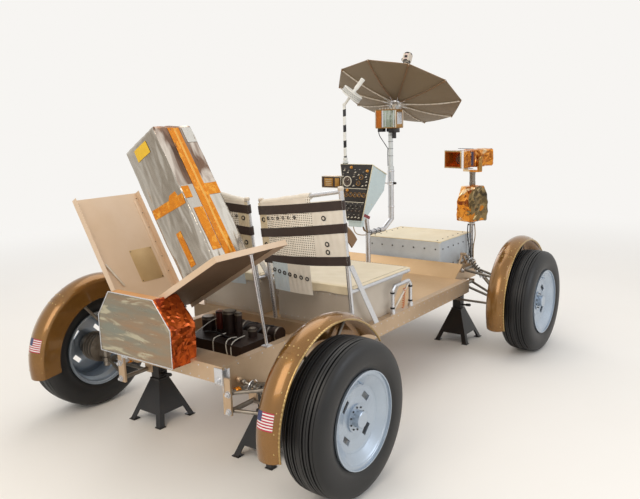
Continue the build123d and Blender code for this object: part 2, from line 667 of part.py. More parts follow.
lower, upper = dish_section(24, 0, 6)
with BuildPart() as high_gain_ribs:
    with BuildSketch(dish_side):
        with BuildLine():
            ThreePointArc(*lower)
            Line(lower[-1], upper[-1])
            ThreePointArc(*reversed(upper))
            Line(upper[0], lower[0])
        make_face()
    revolve(axis=dish_axis)
    with BuildSketch(dish_plane.offset(-20)):
        with PolarLocations(DISH_RADIUS / 2, DISH_RIBS, start_angle=DISH_TURN):
            Rectangle(DISH_RADIUS - 4, 6)
    extrude(amount=140, mode=Mode.INTERSECT)
    with BuildSketch(dish_plane.offset(-8)):
        Circle(34)
    extrude(amount=14)
    block((DISH_PIVOT[0] - 12, DISH_PIVOT[0] + 16), (-17, 17), (DISH_PIVOT[2] - 12, DISH_PIVOT[2] + 16))
    pin_hole = 6 + RUNNING_GAP
    rod((DISH_PIVOT[0], -30, DISH_PIVOT[2]), (DISH_PIVOT[0], 30, DISH_PIVOT[2]), pin_hole, mode=Mode.SUBTRACT)
high_gain_ribs.part.label = "high_gain_ribs"
export_step(high_gain_ribs.part, "parts/high_gain_ribs.step")

with BuildPart() as high_gain_feed:
    with BuildSketch(dish_plane.offset(6)):
        Circle(9)
    extrude(amount=334)
    with BuildSketch(dish_plane.offset(330)):
        Rectangle(52, 44)
    extrude(amount=62)
    with BuildSketch(dish_plane.offset(300)):
        Circle(21)
    extrude(amount=30)
high_gain_feed.part.label = "high_gain_feed"
export_step(high_gain_feed.part, "parts/high_gain_feed.step")

# Low-gain antenna on the console's top
with BuildPart() as low_gain_antenna:
    rod((380, 110, 1324), (380, 110, 1722), 9)
    rod((380, 110, 1349), (380, 110, 1368), 15)
    drum_dir = Vector(0.25, -0.58, 0.775).normalized()
    drum_back = Vector(380, 62, 1768)
    rod((380, 110, 1716), tuple(drum_back + drum_dir * 36), 9)
    ball((380, 110, 1718), 12)
    drum_plane = Plane(origin=drum_back, z_dir=drum_dir)
    with BuildSketch(drum_plane):
        Circle(70)
        Circle(66, mode=Mode.SUBTRACT)
    extrude(amount=38)
    with BuildSketch(drum_plane.offset(34)):
        Circle(70)
    extrude(amount=4)
    rod(tuple(drum_back + drum_dir * 34), tuple(drum_back + drum_dir * 140), 11)
low_gain_antenna.part.label = "low_gain_antenna"
export_step(low_gain_antenna.part, "parts/low_gain_antenna.step")

# Television camera: post, control unit that pans, camera that tilts
with BuildPart() as tv_post:
    block((CAMERA_AXIS[0] - 35, CAMERA_AXIS[0] + 35), (-364, -326), (FORWARD_Z[1], FORWARD_Z[1] + 8))
    rod((*CAMERA_AXIS, FORWARD_Z[1]), (*CAMERA_AXIS, 832), 13)
    rod((*CAMERA_AXIS, 800), (*CAMERA_AXIS, 832), 24)
    rod((*CAMERA_AXIS, 832), (*CAMERA_AXIS, 870), 11)
tv_post.part.label = "tv_post"
export_step(tv_post.part, "parts/tv_post.step")

yaw = math.radians(CAMERA_YAW)
view_dir = Vector(math.cos(yaw), math.sin(yaw), 0)
side_dir = Vector(-math.sin(yaw), math.cos(yaw), 0)
unit_plane = Plane(origin=(*CAMERA_AXIS, 0), x_dir=view_dir, z_dir=-side_dir)
UNIT_PROFILE = ((-96, 838), (96, 838), (96, 985), (52, 1100), (-60, 1100), (-96, 1010))
with BuildPart() as tv_control_unit:
    with BuildSketch(unit_plane.offset(-68)):
        with BuildLine():
            Polyline(*UNIT_PROFILE, close=True)
        make_face()
    extrude(amount=136)
    fillet(tv_control_unit.edges(), radius=8)
    rod((*CAMERA_AXIS, 832.5), (*CAMERA_AXIS, 840), 22)
    rod((*CAMERA_AXIS, 1095), (*CAMERA_AXIS, 1215), 20)
    for fork_side in SIDES:
        ear_plane = unit_plane.offset(fork_side * 68 - 5)
        with BuildSketch(ear_plane):
            with Locations((0, 1266.5)):
                Rectangle(44, 115)
        extrude(amount=10)
    rod((*CAMERA_AXIS, 830), (*CAMERA_AXIS, 872), 11 + RUNNING_GAP, mode=Mode.SUBTRACT)
    bore_start = Vector(*CAMERA_AXIS, CAMERA_Z) - side_dir * 90
    bore_end = Vector(*CAMERA_AXIS, CAMERA_Z) + side_dir * 90
    rod(tuple(bore_start), tuple(bore_end), 10 + RUNNING_GAP, mode=Mode.SUBTRACT)
    with BuildSketch(unit_plane.offset(-73)):
        with Locations((0, 1215.5)):
            Rectangle(44, 13)
    extrude(amount=146)
tv_control_unit.part.label = "tv_control_unit"
export_step(tv_control_unit.part, "parts/tv_control_unit.step")

camera_centre = Vector(*CAMERA_AXIS, CAMERA_Z)
with BuildPart() as tv_camera:
    body_plane = Plane(origin=camera_centre - view_dir * 170, x_dir=side_dir, z_dir=view_dir)
    with BuildSketch(body_plane):
        Rectangle(112, 122)
    extrude(amount=282)
    fillet(tv_camera.edges(), radius=9)
    with BuildSketch(body_plane.offset(282)):
        Circle(40)
    extrude(amount=30)
    with BuildSketch(body_plane.offset(278)):
        Rectangle(150, 112)
        Rectangle(143, 105, mode=Mode.SUBTRACT)
    extrude(amount=112)
    with BuildSketch(body_plane.offset(276)):
        Rectangle(150, 112)
    extrude(amount=4)
    tilt_end = side_dir * 73
    rod(tuple(camera_centre - tilt_end), tuple(camera_centre + tilt_end), 10)
tv_camera.part.label = "tv_camera"
export_step(tv_camera.part, "parts/tv_camera.step")
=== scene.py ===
"""Looks of a two-seat planetary rover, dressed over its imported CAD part, in metres."""

import logging
import math
from dataclasses import dataclass
from enum import Enum

import bpy
from mathutils import Matrix, Vector, noise


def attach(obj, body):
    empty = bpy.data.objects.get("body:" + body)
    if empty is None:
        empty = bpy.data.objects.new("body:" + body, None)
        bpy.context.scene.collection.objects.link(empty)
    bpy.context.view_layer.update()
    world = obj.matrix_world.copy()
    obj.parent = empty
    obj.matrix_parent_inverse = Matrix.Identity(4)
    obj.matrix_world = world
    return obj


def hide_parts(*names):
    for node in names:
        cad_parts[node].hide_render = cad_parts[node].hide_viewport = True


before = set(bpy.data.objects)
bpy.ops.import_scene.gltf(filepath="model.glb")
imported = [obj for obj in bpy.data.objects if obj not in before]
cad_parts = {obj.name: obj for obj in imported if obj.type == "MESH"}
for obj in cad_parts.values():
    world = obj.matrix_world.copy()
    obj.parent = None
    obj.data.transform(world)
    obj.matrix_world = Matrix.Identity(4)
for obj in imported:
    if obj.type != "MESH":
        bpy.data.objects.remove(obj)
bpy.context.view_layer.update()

LOG = logging.getLogger("rover")
Point = tuple[float, float, float]
Shade = tuple[float, float, float, float]
Piece = bpy.types.Object
Tree = bpy.types.NodeTree
Socket = bpy.types.NodeSocket
HERE = Matrix.Identity(4)
# These turn a section that add_turned spins round Y, so that it is spun round Z, up or down
AXIS_Z = Matrix.Rotation(-math.pi / 2, 4, "X")
AXIS_BACK = Matrix.Rotation(math.pi / 2, 4, "X")


def linear(code: str) -> Shade:
    """Turn an sRGB hex colour into a linear one.

    Args:
        code: Colour as #rrggbb.

    Returns:
        Linear red, green, blue and an alpha of one.
    """
    parts = [int(code[i : i + 2], 16) / 255 for i in (1, 3, 5)]
    light = [c / 12.92 if c <= 0.04045 else ((c + 0.055) / 1.055) ** 2.4 for c in parts]
    return (light[0], light[1], light[2], 1.0)


def add_node(
    tree: Tree, kind: str, inputs: dict | None = None, **settings: object
) -> bpy.types.Node:
    """Add one shader node, set it and link it.

    Args:
        tree: Node tree that gets the node.
        kind: Type name of the node.
        inputs: Values or output sockets, by the input's name or number.
        **settings: Attributes set on the node itself.

    Returns:
        The new node.
    """
    node = tree.nodes.new(kind)
    for name, value in settings.items():
        setattr(node, name, value)
    for name, value in (inputs or {}).items():
        socket = node.inputs[name]
        if isinstance(value, Socket):
            tree.links.new(value, socket)
        else:
            socket.default_value = value
    return node


class Pattern(Enum):
    """How a finish's two colours meet."""

    MOTTLED = "mottled"
    STREAKED = "streaked"
    # Painted reflection: a tone for each way that a crease faces
    CREASED = "creased"
    STRIPED = "striped"
    WOVEN = "woven"


@dataclass(frozen=True)
class Finish:
    """A surface: its real material, how it was made and what that gives the eye.

    Colours are sRGB hex values, and sizes are millimetres on the real object.
    """

    name: str
    shade: str
    tone: str
    metallic: float = 0.0
    roughness: float = 0.5
    patch_mm: float = 120.0
    amount: float = 0.5
    grain_mm: float = 3.0
    relief_mm: float = 0.05
    spread: float = 0.08
    pattern: Pattern = Pattern.MOTTLED
    stretch: Point = (1.0, 1.0, 1.0)
    turn: Point = (0.0, 0.0, 0.0)
    # Colour of painted highlights, laid in small hard patches; empty for none
    glint: str = ""
    coat: float = 0.0
    sheen: float = 0.0

    def ground(self, tree: Tree) -> Socket:
        """Return the coordinates that the finish's patterns read.

        Args:
            tree: Node tree of the material.

        Returns:
            A vector output in metres, turned and stretched as the finish asks.
        """
        coords = add_node(tree, "ShaderNodeTexCoord").outputs["Object"]
        return add_node(
            tree, "ShaderNodeMapping",
            {"Vector": coords, "Rotation": self.turn, "Scale": self.stretch}, vector_type="TEXTURE"
        ).outputs[0]

    def meeting(self, tree: Tree, place: Socket) -> Socket:
        """Return how much of the second colour shows at each point.

        Args:
            tree: Node tree of the material.
            place: Coordinates from ground().

        Returns:
            A value output between 0 and 1.
        """
        scale = 1000.0 / self.patch_mm
        if self.pattern in (Pattern.MOTTLED, Pattern.STREAKED):
            cloud = add_node(
                tree, "ShaderNodeTexNoise",
                {"Vector": place, "Scale": scale, "Detail": 5.0, "Roughness": 0.6}
            ).outputs[0]
            hard = 0.16 if self.pattern is Pattern.STREAKED else 0.28
            return add_node(
                tree, "ShaderNodeMapRange",
                {0: cloud, 1: 0.5 - hard, 2: 0.5 + hard, 3: 0.0, 4: self.amount}
            ).outputs[0]
        # Film tones by facing are a painted reflection
        if self.pattern is Pattern.CREASED:
            return self.mirrored(tree, place)
        split = add_node(tree, "ShaderNodeSeparateXYZ", {0: place})
        threads = []
        for way in (0,) if self.pattern is Pattern.STRIPED else (0, 1):
            turns = add_node(
                tree, "ShaderNodeMath", {0: split.outputs[way], 1: scale}, operation="MULTIPLY"
            ).outputs[0]
            wave = add_node(tree, "ShaderNodeMath", {0: turns}, operation="FRACT").outputs[0]
            threads.append(
                add_node(
                    tree, "ShaderNodeMath", {0: wave, 1: self.amount}, operation="LESS_THAN"
                ).outputs[0]
            )
        if len(threads) == 1:
            return threads[0]
        return add_node(
            tree, "ShaderNodeMath", dict(enumerate(threads)), operation="MAXIMUM"
        ).outputs[0]

    def mirrored(self, tree: Tree, place: Socket) -> Socket:
        """Return a painted reflection: a tone for each way that a crease faces, as film mirrors a
        room.

        Args:
            tree: Node tree of the material.
            place: Coordinates from ground().

        Returns:
            A value output between 0 and 1.
        """
        facing = add_node(tree, "ShaderNodeTexCoord").outputs["Normal"]
        spread = add_node(
            tree, "ShaderNodeVectorMath", {0: facing, 3: 1.7}, operation="SCALE"
        ).outputs[0]
        shift = add_node(
            tree, "ShaderNodeVectorMath", {0: place, 3: 1000.0 / self.patch_mm}, operation="SCALE"
        ).outputs[0]
        both = add_node(
            tree, "ShaderNodeVectorMath", {0: spread, 1: shift}, operation="ADD"
        ).outputs[0]
        cloud = add_node(
            tree, "ShaderNodeTexNoise", {"Vector": both, "Scale": 1.6, "Detail": 1.5}
        ).outputs[0]
        return add_node(
            tree, "ShaderNodeMapRange", {0: cloud, 1: 0.36, 2: 0.66, 3: 0.0, 4: self.amount}
        ).outputs[0]

    def material(self) -> bpy.types.Material:
        """Build the finish's material once, and return it.

        Returns:
            The material, made of procedural nodes only.
        """
        known = bpy.data.materials.get(self.name)
        if known is not None:
            return known
        made = bpy.data.materials.new(self.name)
        made.use_nodes = True
        tree = made.node_tree
        tree.nodes.clear()
        place = self.ground(tree)
        share = self.meeting(tree, place)
        colour = add_node(
            tree, "ShaderNodeMix", {0: share, 6: linear(self.shade), 7: linear(self.tone)},
            data_type="RGBA"
        ).outputs[2]
        # Painted highlights over the two colours
        if self.glint:
            colour = self.glinting(tree, place, colour)
        grain = add_node(
            tree, "ShaderNodeTexNoise",
            {"Vector": place, "Scale": 1000.0 / self.grain_mm, "Detail": 3.0}
        ).outputs[0]
        gloss = add_node(
            tree, "ShaderNodeMapRange", {
                0: grain, 1: 0.3, 2: 0.7, 3: max(self.roughness - self.spread, 0.03),
                4: min(self.roughness + self.spread, 1.0)
            }
        ).outputs[0]
        bump = self.surface(tree, share, grain)
        shader = add_node(
            tree, "ShaderNodeBsdfPrincipled", {
                "Base Color": colour, "Metallic": self.metallic, "Roughness": gloss, "Normal": bump,
                "Coat Weight": self.coat, "Sheen Weight": self.sheen
            }
        )
        add_node(tree, "ShaderNodeOutputMaterial", {"Surface": shader.outputs[0]})
        return made

    def glinting(self, tree: Tree, place: Socket, colour: Socket) -> Socket:
        """Lay painted highlights, the third colour, over the others in small hard patches.

        Args:
            tree: Node tree of the material.
            place: Coordinates from ground().
            colour: Colour under the patches.

        Returns:
            The colour with its patches.
        """
        scale = 1700.0 / self.patch_mm
        cloud = add_node(
            tree, "ShaderNodeTexNoise",
            {"Vector": place, "Scale": scale, "Detail": 4.0, "Distortion": 0.8}
        ).outputs[0]
        share = add_node(
            tree, "ShaderNodeMapRange", {0: cloud, 1: 0.56, 2: 0.64, 3: 0.0, 4: 1.0}
        ).outputs[0]
        return add_node(
            tree, "ShaderNodeMix", {0: share, 6: colour, 7: linear(self.glint)}, data_type="RGBA"
        ).outputs[2]

    def surface(self, tree: Tree, share: Socket, grain: Socket) -> Socket:
        """Return the surface's normal with its fine relief.

        Args:
            tree: Node tree of the material.
            share: Pattern from meeting().
            grain: Fine noise of the finish.

        Returns:
            A normal output.
        """
        height = share if self.pattern is Pattern.WOVEN else grain
        return add_node(
            tree, "ShaderNodeBump",
            {"Strength": 0.8, "Distance": self.relief_mm / 1000.0, "Height": height}
        ).outputs["Normal"]


# Bare aluminium sheet and tube, dulled by handling: warm grey with soft clouds, half gloss
SHEET_ALUMINIUM = Finish(
    "mill_aluminium_sheet", "#ccb294", "#a98f72", 0.55, 0.42, 260.0, 0.8, 2.0, 0.02, 0.12
)
DECK_ALUMINIUM = Finish(
    "deck_aluminium_sheet", "#d6b78f", "#bd9a70", 0.5, 0.45, 320.0, 0.8, 2.4, 0.02, 0.12
)
PALLET_ALUMINIUM = Finish(
    "pallet_aluminium_sheet", "#e2ccb6", "#d3b797", 0.2, 0.46, 300.0, 0.9, 2.0, 0.02, 0.1
)
BIN_ALUMINIUM = Finish(
    "anodised_bin_sheet", "#cfc6ba", "#b8ab9a", 0.35, 0.4, 300.0, 0.8, 2.0, 0.02, 0.1
)
# Drawn aluminium tube: bright, with fine lines along it that show only as a soft gloss
BRIGHT_TUBE = Finish(
    "drawn_aluminium_tube", "#dcdde0", "#b9bcc2", 0.85, 0.28, 60.0, 0.6, 1.2, 0.015, 0.08
)
# Zinc-plated and turned steel: grey, with the dark film of old grease in patches
PLATED_STEEL = Finish("plated_steel", "#9b958c", "#6a5f54", 0.85, 0.38, 40.0, 0.8, 1.5, 0.03, 0.12)
# Spring wire: oiled steel, nearly black between bright crests
SPRING_STEEL = Finish(
    "oiled_spring_steel", "#8e8a84", "#4a443e", 0.8, 0.3, 20.0, 0.7, 1.5, 0.02, 0.08
)
# Polished alloy: the rims, sprayed silver with a fine even flake
WHEEL_SILVER = Finish(
    "silver_wheel_paint", "#b4c0cd", "#93a1b1", 0.65, 0.3, 150.0, 0.6, 0.8, 0.01, 0.06, coat=0.3
)
# Moulded tyre rubber: near black, satin where the mould was smooth
TYRE_RUBBER = Finish(
    "moulded_tyre_rubber", "#0e0f12", "#1a1918", 0.0, 0.46, 90.0, 0.7, 1.6, 0.05, 0.1
)
# Metallic bronze lacquer on glass fibre: warm gold with a glossy clear coat
FENDER_BRONZE = Finish(
    "bronze_fender_lacquer", "#93692f", "#6d4a24", 0.6, 0.25, 210.0, 0.75, 1.0, 0.01, 0.05, coat=0.6
)
FENDER_TRIM = Finish("brass_edge_trim", "#c9b07a", "#9a8048", 0.8, 0.3, 60.0, 0.6, 1.5, 0.02, 0.08)
# Black enamel on welded steel: thick, glossy in places, brown dust on it
STAND_ENAMEL = Finish(
    "black_stand_enamel", "#121214", "#2a2420", 0.1, 0.36, 70.0, 0.6, 2.5, 0.08, 0.1
)
# Coated white cloth over the battery cover: warm white, faint weave, soiled in clouds; the warm
# white of its top is painted light
COVER_CLOTH = Finish(
    "coated_white_cloth", "#efe3c4", "#d9c9a4", 0.0, 0.62, 160.0, 0.7, 1.2, 0.06, 0.1, sheen=0.2
)
# The same cloth on the cover's sides, painted pale blue-grey as shade
COVER_SIDE_SHADE = Finish(
    "coated_cloth_side_shade", "#c9d0d6", "#b0b6ba", 0.0, 0.6, 120.0, 0.7, 1.2, 0.06, 0.1, sheen=0.2
)
# Nylon seat cloth: off-white plain weave; the net's holes are drawn at 12 mm to show
SEAT_CLOTH = Finish(
    "off_white_nylon_cloth", "#e9e2d6", "#cfc6b8", 0.0, 0.72, 90.0, 0.7, 1.5, 0.1, 0.08, sheen=0.3
)
SEAT_NET = Finish(
    "pale_net_cloth", "#746b5c", "#ece6da", 0.0, 0.75, 12.0, 0.5, 2.0, 0.5, 0.08, Pattern.WOVEN,
    turn=(0.0, math.radians(90.0), 0.0)
)
SEAT_CREAM = Finish(
    "cream_nylon_cloth", "#dccfb4", "#c7b795", 0.0, 0.7, 120.0, 0.7, 1.5, 0.1, 0.08, sheen=0.3
)
SEAT_BLUE = Finish(
    "pale_blue_nylon_cloth", "#b9cbd6", "#dfe4e4", 0.0, 0.7, 60.0, 0.6, 1.5, 0.1, 0.08, sheen=0.3
)
DARK_WEBBING = Finish(
    "dark_brown_webbing", "#2a1c17", "#3a2921", 0.0, 0.7, 30.0, 0.7, 1.6, 0.25, 0.08, sheen=0.2
)
# Instrument enamel: pale blue-white outside, matt black on the face
CONSOLE_WHITE = Finish(
    "pale_console_enamel", "#c9dadd", "#b3c5ca", 0.0, 0.42, 240.0, 0.6, 1.2, 0.02, 0.06
)
CONSOLE_CREAM = Finish(
    "cream_console_enamel", "#dcd3b8", "#c8bd9c", 0.0, 0.45, 160.0, 0.6, 1.2, 0.02, 0.06
)
CONSOLE_BLACK = Finish(
    "matt_black_panel_enamel", "#1d1a19", "#2c2622", 0.0, 0.52, 50.0, 0.7, 1.0, 0.03, 0.08
)
DIAL_FACE = Finish("printed_dial_card", "#3d2f26", "#57463a", 0.0, 0.5, 12.0, 0.8, 1.0, 0.02, 0.05)
PALE_MARK = Finish(
    "pale_marking_enamel", "#d8d2c4", "#b9b09c", 0.0, 0.5, 12.0, 0.5, 1.0, 0.02, 0.05
)
YELLOW_KNOB = Finish(
    "yellow_moulded_plastic", "#d9962a", "#b97818", 0.0, 0.4, 12.0, 0.5, 1.0, 0.02, 0.05
)
RED_LABEL = Finish("red_label_card", "#8c3b40", "#743036", 0.0, 0.5, 12.0, 0.5, 1.0, 0.02, 0.05)
DIAL_GLASS = Finish("dial_glass", "#50473f", "#6b6258", 0.3, 0.12, 20.0, 0.6, 3.0, 0.01, 0.03)
SIDE_UNIT = Finish(
    "brown_side_unit_enamel", "#35241b", "#4a3527", 0.2, 0.42, 30.0, 0.7, 1.2, 0.03, 0.08
)
GOLD_PLATE = Finish("gold_plated_sheet", "#b98d4b", "#8f6430", 0.8, 0.28, 18.0, 0.8, 3.0, 0.1, 0.1)
# Cast and sprayed drive housings: soot black with rust-brown dust
DRIVE_BLACK = Finish(
    "black_cast_housing", "#221a18", "#3d2a22", 0.35, 0.48, 45.0, 0.8, 1.6, 0.08, 0.12
)
RED_LACQUER = Finish(
    "dark_red_lacquer", "#6b2a1e", "#4a1d16", 0.2, 0.35, 30.0, 0.7, 1.5, 0.04, 0.08
)
# Aluminised film, creased by hand, long folds: its tones are a painted reflection, each facet
# showing another part of the room
SILVER_FILM = Finish(
    "creased_silver_film", "#dedad2", "#8c8172", 0.8, 0.18, 520.0, 0.85, 16.0, 0.03, 0.05,
    Pattern.CREASED, (1.0, 1.0, 4.0), (math.radians(-30.6), 0.0, 0.0)
)
# Grey film of the rear box: its tan streaks are a painted reflection, its pale patches painted
# highlights
GREY_FILM = Finish(
    "creased_grey_film", "#85877b", "#a77a52", 0.65, 0.22, 62.0, 0.62, 16.0, 0.03, 0.06,
    Pattern.STREAKED, (1.0, 6.0, 1.0), glint="#b9b29a"
)
# The same film where it mirrors the dark room above, as painted shade and painted reflection:
# brown, with painted highlights on a few folds
SHADED_FILM = Finish(
    "shaded_silver_film", "#9a7a66", "#4a372c", 0.7, 0.18, 240.0, 0.9, 16.0, 0.03, 0.05,
    Pattern.CREASED, (1.0, 1.0, 3.0), (math.radians(-30.6), 0.0, 0.0), glint="#d9cfc4"
)
# Red film on the rear box's side: its tones by facing are a painted reflection
RED_FILM = Finish(
    "creased_red_film", "#e8702a", "#7a2408", 0.7, 0.15, 260.0, 1.0, 14.0, 0.03, 0.04,
    Pattern.CREASED
)
# Tan lacquered sheet on top of the rear box; the brown sheet under the pallet is painted shade
TAN_SHEET = Finish(
    "tan_lacquered_sheet", "#d89f62", "#b97f45", 0.3, 0.38, 90.0, 0.7, 2.0, 0.02, 0.08
)
UNDER_PALLET_SHADE = Finish(
    "under_pallet_painted_shade", "#7b6450", "#5f4a39", 0.2, 0.5, 120.0, 0.7, 2.0, 0.02, 0.08
)
PATCH_SHEET = Finish(
    "yellowed_patch_sheet", "#cdb083", "#b5986c", 0.4, 0.42, 90.0, 0.7, 2.0, 0.02, 0.08
)
# Bright strip along the tape's fold: a painted highlight
TAPE_FOLD_HIGHLIGHT = Finish("tape_fold_painted_highlight", "#f4c06a", "#e0982c", 0.6, 0.18, 24.0, 0.8, 8.0, 0.3, 0.05)
GREY_LABEL = Finish("grey_label_card", "#c9c8c4", "#b5b3ae", 0.0, 0.5, 20.0, 0.5, 1.0, 0.02, 0.05)
# Gold film: its tones by facing are a painted reflection, its pale patches painted highlights
GOLD_FILM = Finish(
    "creased_gold_film", "#ef9c38", "#7d370c", 0.8, 0.16, 300.0, 1.0, 14.0, 0.03, 0.05,
    Pattern.CREASED, glint="#fbe0b4"
)
# Painted shade: the gold film's side turned from the light, olive brown
OLIVE_SHADE_FILM = Finish(
    "olive_painted_shade_film", "#9a8255", "#3c3224", 0.75, 0.2, 300.0, 1.0, 14.0, 0.03, 0.05,
    Pattern.CREASED
)
# Mirror-bright cover of the antenna's electronics: grey green with pale streaks, a painted
# reflection of a room
GREEN_MIRROR = Finish(
    "grey_green_mirror_sheet", "#6f7c68", "#b9c2b4", 0.8, 0.14, 44.0, 0.8, 12.0, 0.02, 0.04,
    Pattern.STREAKED, (1.0, 1.0, 4.0)
)
# Amber film: its tones by facing are a painted reflection
AMBER_FILM = Finish(
    "amber_film", "#d07c30", "#8a4618", 0.75, 0.24, 300.0, 0.9, 5.0, 0.12, 0.06, Pattern.CREASED
)
# Polished orange lining of the camera's hood
HOOD_ORANGE = Finish(
    "polished_orange_lining", "#e58535", "#b9560f", 0.55, 0.16, 60.0, 0.8, 4.0, 0.05, 0.05
)
PURPLE_BAND = Finish(
    "dark_violet_tape", "#3d2f4a", "#2a2130", 0.2, 0.35, 20.0, 0.6, 2.0, 0.02, 0.05
)
FEED_PINK = Finish(
    "pale_pink_feed_enamel", "#dcc6c0", "#c7aaa2", 0.0, 0.4, 30.0, 0.6, 1.2, 0.02, 0.05
)
# Amber film tape: its glint patches are painted highlights
AMBER_TAPE = Finish(
    "amber_film_tape", "#e6901a", "#c4700c", 0.5, 0.25, 60.0, 0.8, 14.0, 0.3, 0.08, glint="#eea63a"
)
YELLOW_LABEL = Finish(
    "yellow_label_card", "#e2b92c", "#cda41e", 0.0, 0.5, 20.0, 0.5, 1.0, 0.02, 0.05
)
# Gilded wire gauze of the dish: brown, with a weave drawn at 4 mm to show
DISH_GAUZE = Finish(
    "gilded_wire_gauze", "#93826a", "#665947", 0.45, 0.5, 4.0, 0.3, 4.0, 0.3, 0.08, Pattern.WOVEN
)
RIB_WHITE = Finish("white_rib_enamel", "#d9d2c6", "#b7a58f", 0.1, 0.4, 80.0, 0.7, 1.2, 0.02, 0.06)
MAST_WHITE = Finish(
    "white_mast_enamel", "#d5d9da", "#bcc1c3", 0.1, 0.35, 120.0, 0.6, 1.2, 0.02, 0.06
)
# Mast wrapped in black and white tape, one turn about 95 mm long
MAST_TAPE = Finish(
    "black_and_white_mast_tape", "#e4e4e0", "#17161a", 0.0, 0.5, 95.0, 0.45, 2.0, 0.04, 0.06,
    Pattern.STRIPED, turn=(0.0, math.radians(68.0), 0.0)
)
ANTENNA_WHITE = Finish(
    "white_antenna_enamel", "#e6e6e2", "#cfcfca", 0.0, 0.42, 60.0, 0.6, 1.5, 0.02, 0.05
)
# Gold lining of the drum: its glint patches are painted highlights
DRUM_GOLD = Finish(
    "gold_drum_lining", "#8f7a1e", "#4d3f0c", 0.7, 0.3, 22.0, 0.9, 3.0, 0.1, 0.1, glint="#d9c768"
)
# Lacquered wire of the dish's rim and the taped ribs
DISH_WIRE = Finish(
    "brown_lacquered_wire", "#8f6a46", "#5c432c", 0.2, 0.42, 30.0, 0.7, 1.5, 0.03, 0.08
)
BLACK_CABLE = Finish(
    "black_cable_sheath", "#17171a", "#26262a", 0.0, 0.5, 20.0, 0.5, 1.0, 0.03, 0.05
)
WHITE_CABLE = Finish(
    "white_cable_sheath", "#d6d2c8", "#b4afa4", 0.0, 0.5, 20.0, 0.5, 1.0, 0.03, 0.05
)
ORANGE_CABLE = Finish(
    "orange_cable_sheath", "#cf6a22", "#a84d14", 0.0, 0.45, 20.0, 0.5, 1.0, 0.03, 0.05
)
GOLD_CABLE = Finish("tan_cable_sheath", "#a98a5a", "#7d6238", 0.0, 0.5, 20.0, 0.5, 1.0, 0.03, 0.05)
FLAG_WHITE = Finish("white_decal_film", "#e8e6e4", "#d8d4d2", 0.0, 0.4, 30.0, 0.5, 2.0, 0.01, 0.04)
FLAG_RED = Finish("red_decal_film", "#b3263f", "#9c1f36", 0.0, 0.4, 30.0, 0.5, 2.0, 0.01, 0.04)
FLAG_BLUE = Finish("blue_decal_film", "#2e3766", "#262e57", 0.0, 0.4, 30.0, 0.5, 2.0, 0.01, 0.04)

NODE_FINISH: dict[str, tuple[str, Finish]] = {
    "center_frame": ("frame_aluminium", SHEET_ALUMINIUM),
    "forward_frame": ("frame_aluminium", SHEET_ALUMINIUM),
    "aft_frame": ("frame_aluminium", SHEET_ALUMINIUM),
    "aft_tray": ("deck_aluminium", DECK_ALUMINIUM),
    "floor_panel": ("deck_aluminium", DECK_ALUMINIUM),
    "pallet": ("pallet_aluminium", PALLET_ALUMINIUM),
    "pallet_struts": ("bright_metal", BRIGHT_TUBE), "seat_frames": ("bright_metal", BRIGHT_TUBE),
    "seat_bins": ("deck_aluminium", BIN_ALUMINIUM), "handholds": ("bright_metal", BRIGHT_TUBE),
    "console_stand": ("bright_metal", BRIGHT_TUBE), "console_body": ("console_grey", CONSOLE_WHITE),
    "console_panel": ("console_black", CONSOLE_BLACK),
    "console_side_unit": ("console_black", SIDE_UNIT), "axle_stands": ("stand_black", STAND_ENAMEL),
    "suspension_arms": ("bare_steel", PLATED_STEEL), "spring_dampers": ("bare_steel", PLATED_STEEL),
    "battery_box": ("cover_white", COVER_SIDE_SHADE), "drive_units": ("drive_black", DRIVE_BLACK),
    "foil_box": ("silver_foil", SILVER_FILM), "mirror_box": ("mirror_film", GREY_FILM),
    "tv_post": ("bright_metal", BRIGHT_TUBE), "tv_control_unit": ("camera_foil", GOLD_FILM),
    "tv_camera": ("camera_foil", AMBER_FILM), "high_gain_mast": ("rib_white", MAST_WHITE),
    "high_gain_electronics": ("gold_foil", GOLD_PLATE), "high_gain_mesh": ("dish_mesh", DISH_GAUZE),
    "high_gain_ribs": ("rib_white", RIB_WHITE), "high_gain_feed": ("rib_white", RIB_WHITE),
    "low_gain_antenna": ("antenna_white", ANTENNA_WHITE),
    "front_tie_rod": ("bare_steel", PLATED_STEEL), "rear_tie_rod": ("bare_steel", PLATED_STEEL),
    "seat_pans": ("seat_web", SEAT_CREAM), "seat_backs": ("seat_web", SEAT_CLOTH)
}
CORNERS = ("front_left", "front_right", "rear_left", "rear_right")
for _corner in CORNERS:
    NODE_FINISH[f"{_corner}_tyre"] = ("tyre_rubber", TYRE_RUBBER)
    NODE_FINISH[f"{_corner}_rim"] = ("wheel_paint", WHEEL_SILVER)
    NODE_FINISH[f"{_corner}_fender"] = ("fender_bronze", FENDER_BRONZE)
    NODE_FINISH[f"{_corner}_knuckle"] = ("bare_steel", PLATED_STEEL)


def clear_selection() -> None:
    """Go to object mode and deselect everything."""
    if bpy.context.object is not None and bpy.context.object.mode != "OBJECT":
        bpy.ops.object.mode_set(mode="OBJECT")
    bpy.ops.object.select_all(action="DESELECT")


def pick(*pieces: Piece) -> None:
    """Select only these pieces, the first one active.

    Args:
        *pieces: Objects to select.
    """
    clear_selection()
    for piece in pieces:
        piece.select_set(True)
    bpy.context.view_layer.objects.active = pieces[0]


def settle(piece: Piece, place: Matrix) -> Piece:
    """Put a piece in its place and write that place into its mesh.

    Args:
        piece: Object modelled at the origin.
        place: Where it goes.

    Returns:
        The same object, at the origin and unturned.
    """
    pick(piece)
    piece.matrix_world = place @ piece.matrix_world
    bpy.ops.object.transform_apply(location=True, rotation=True, scale=True)
    return piece


def moved(x: float, y: float, z: float) -> Matrix:
    """Return a place that is moved and not turned.

    Args:
        x: Distance along X.
        y: Distance along Y.
        z: Distance along Z.

    Returns:
        A matrix.
    """
    return Matrix.Translation((x, y, z))


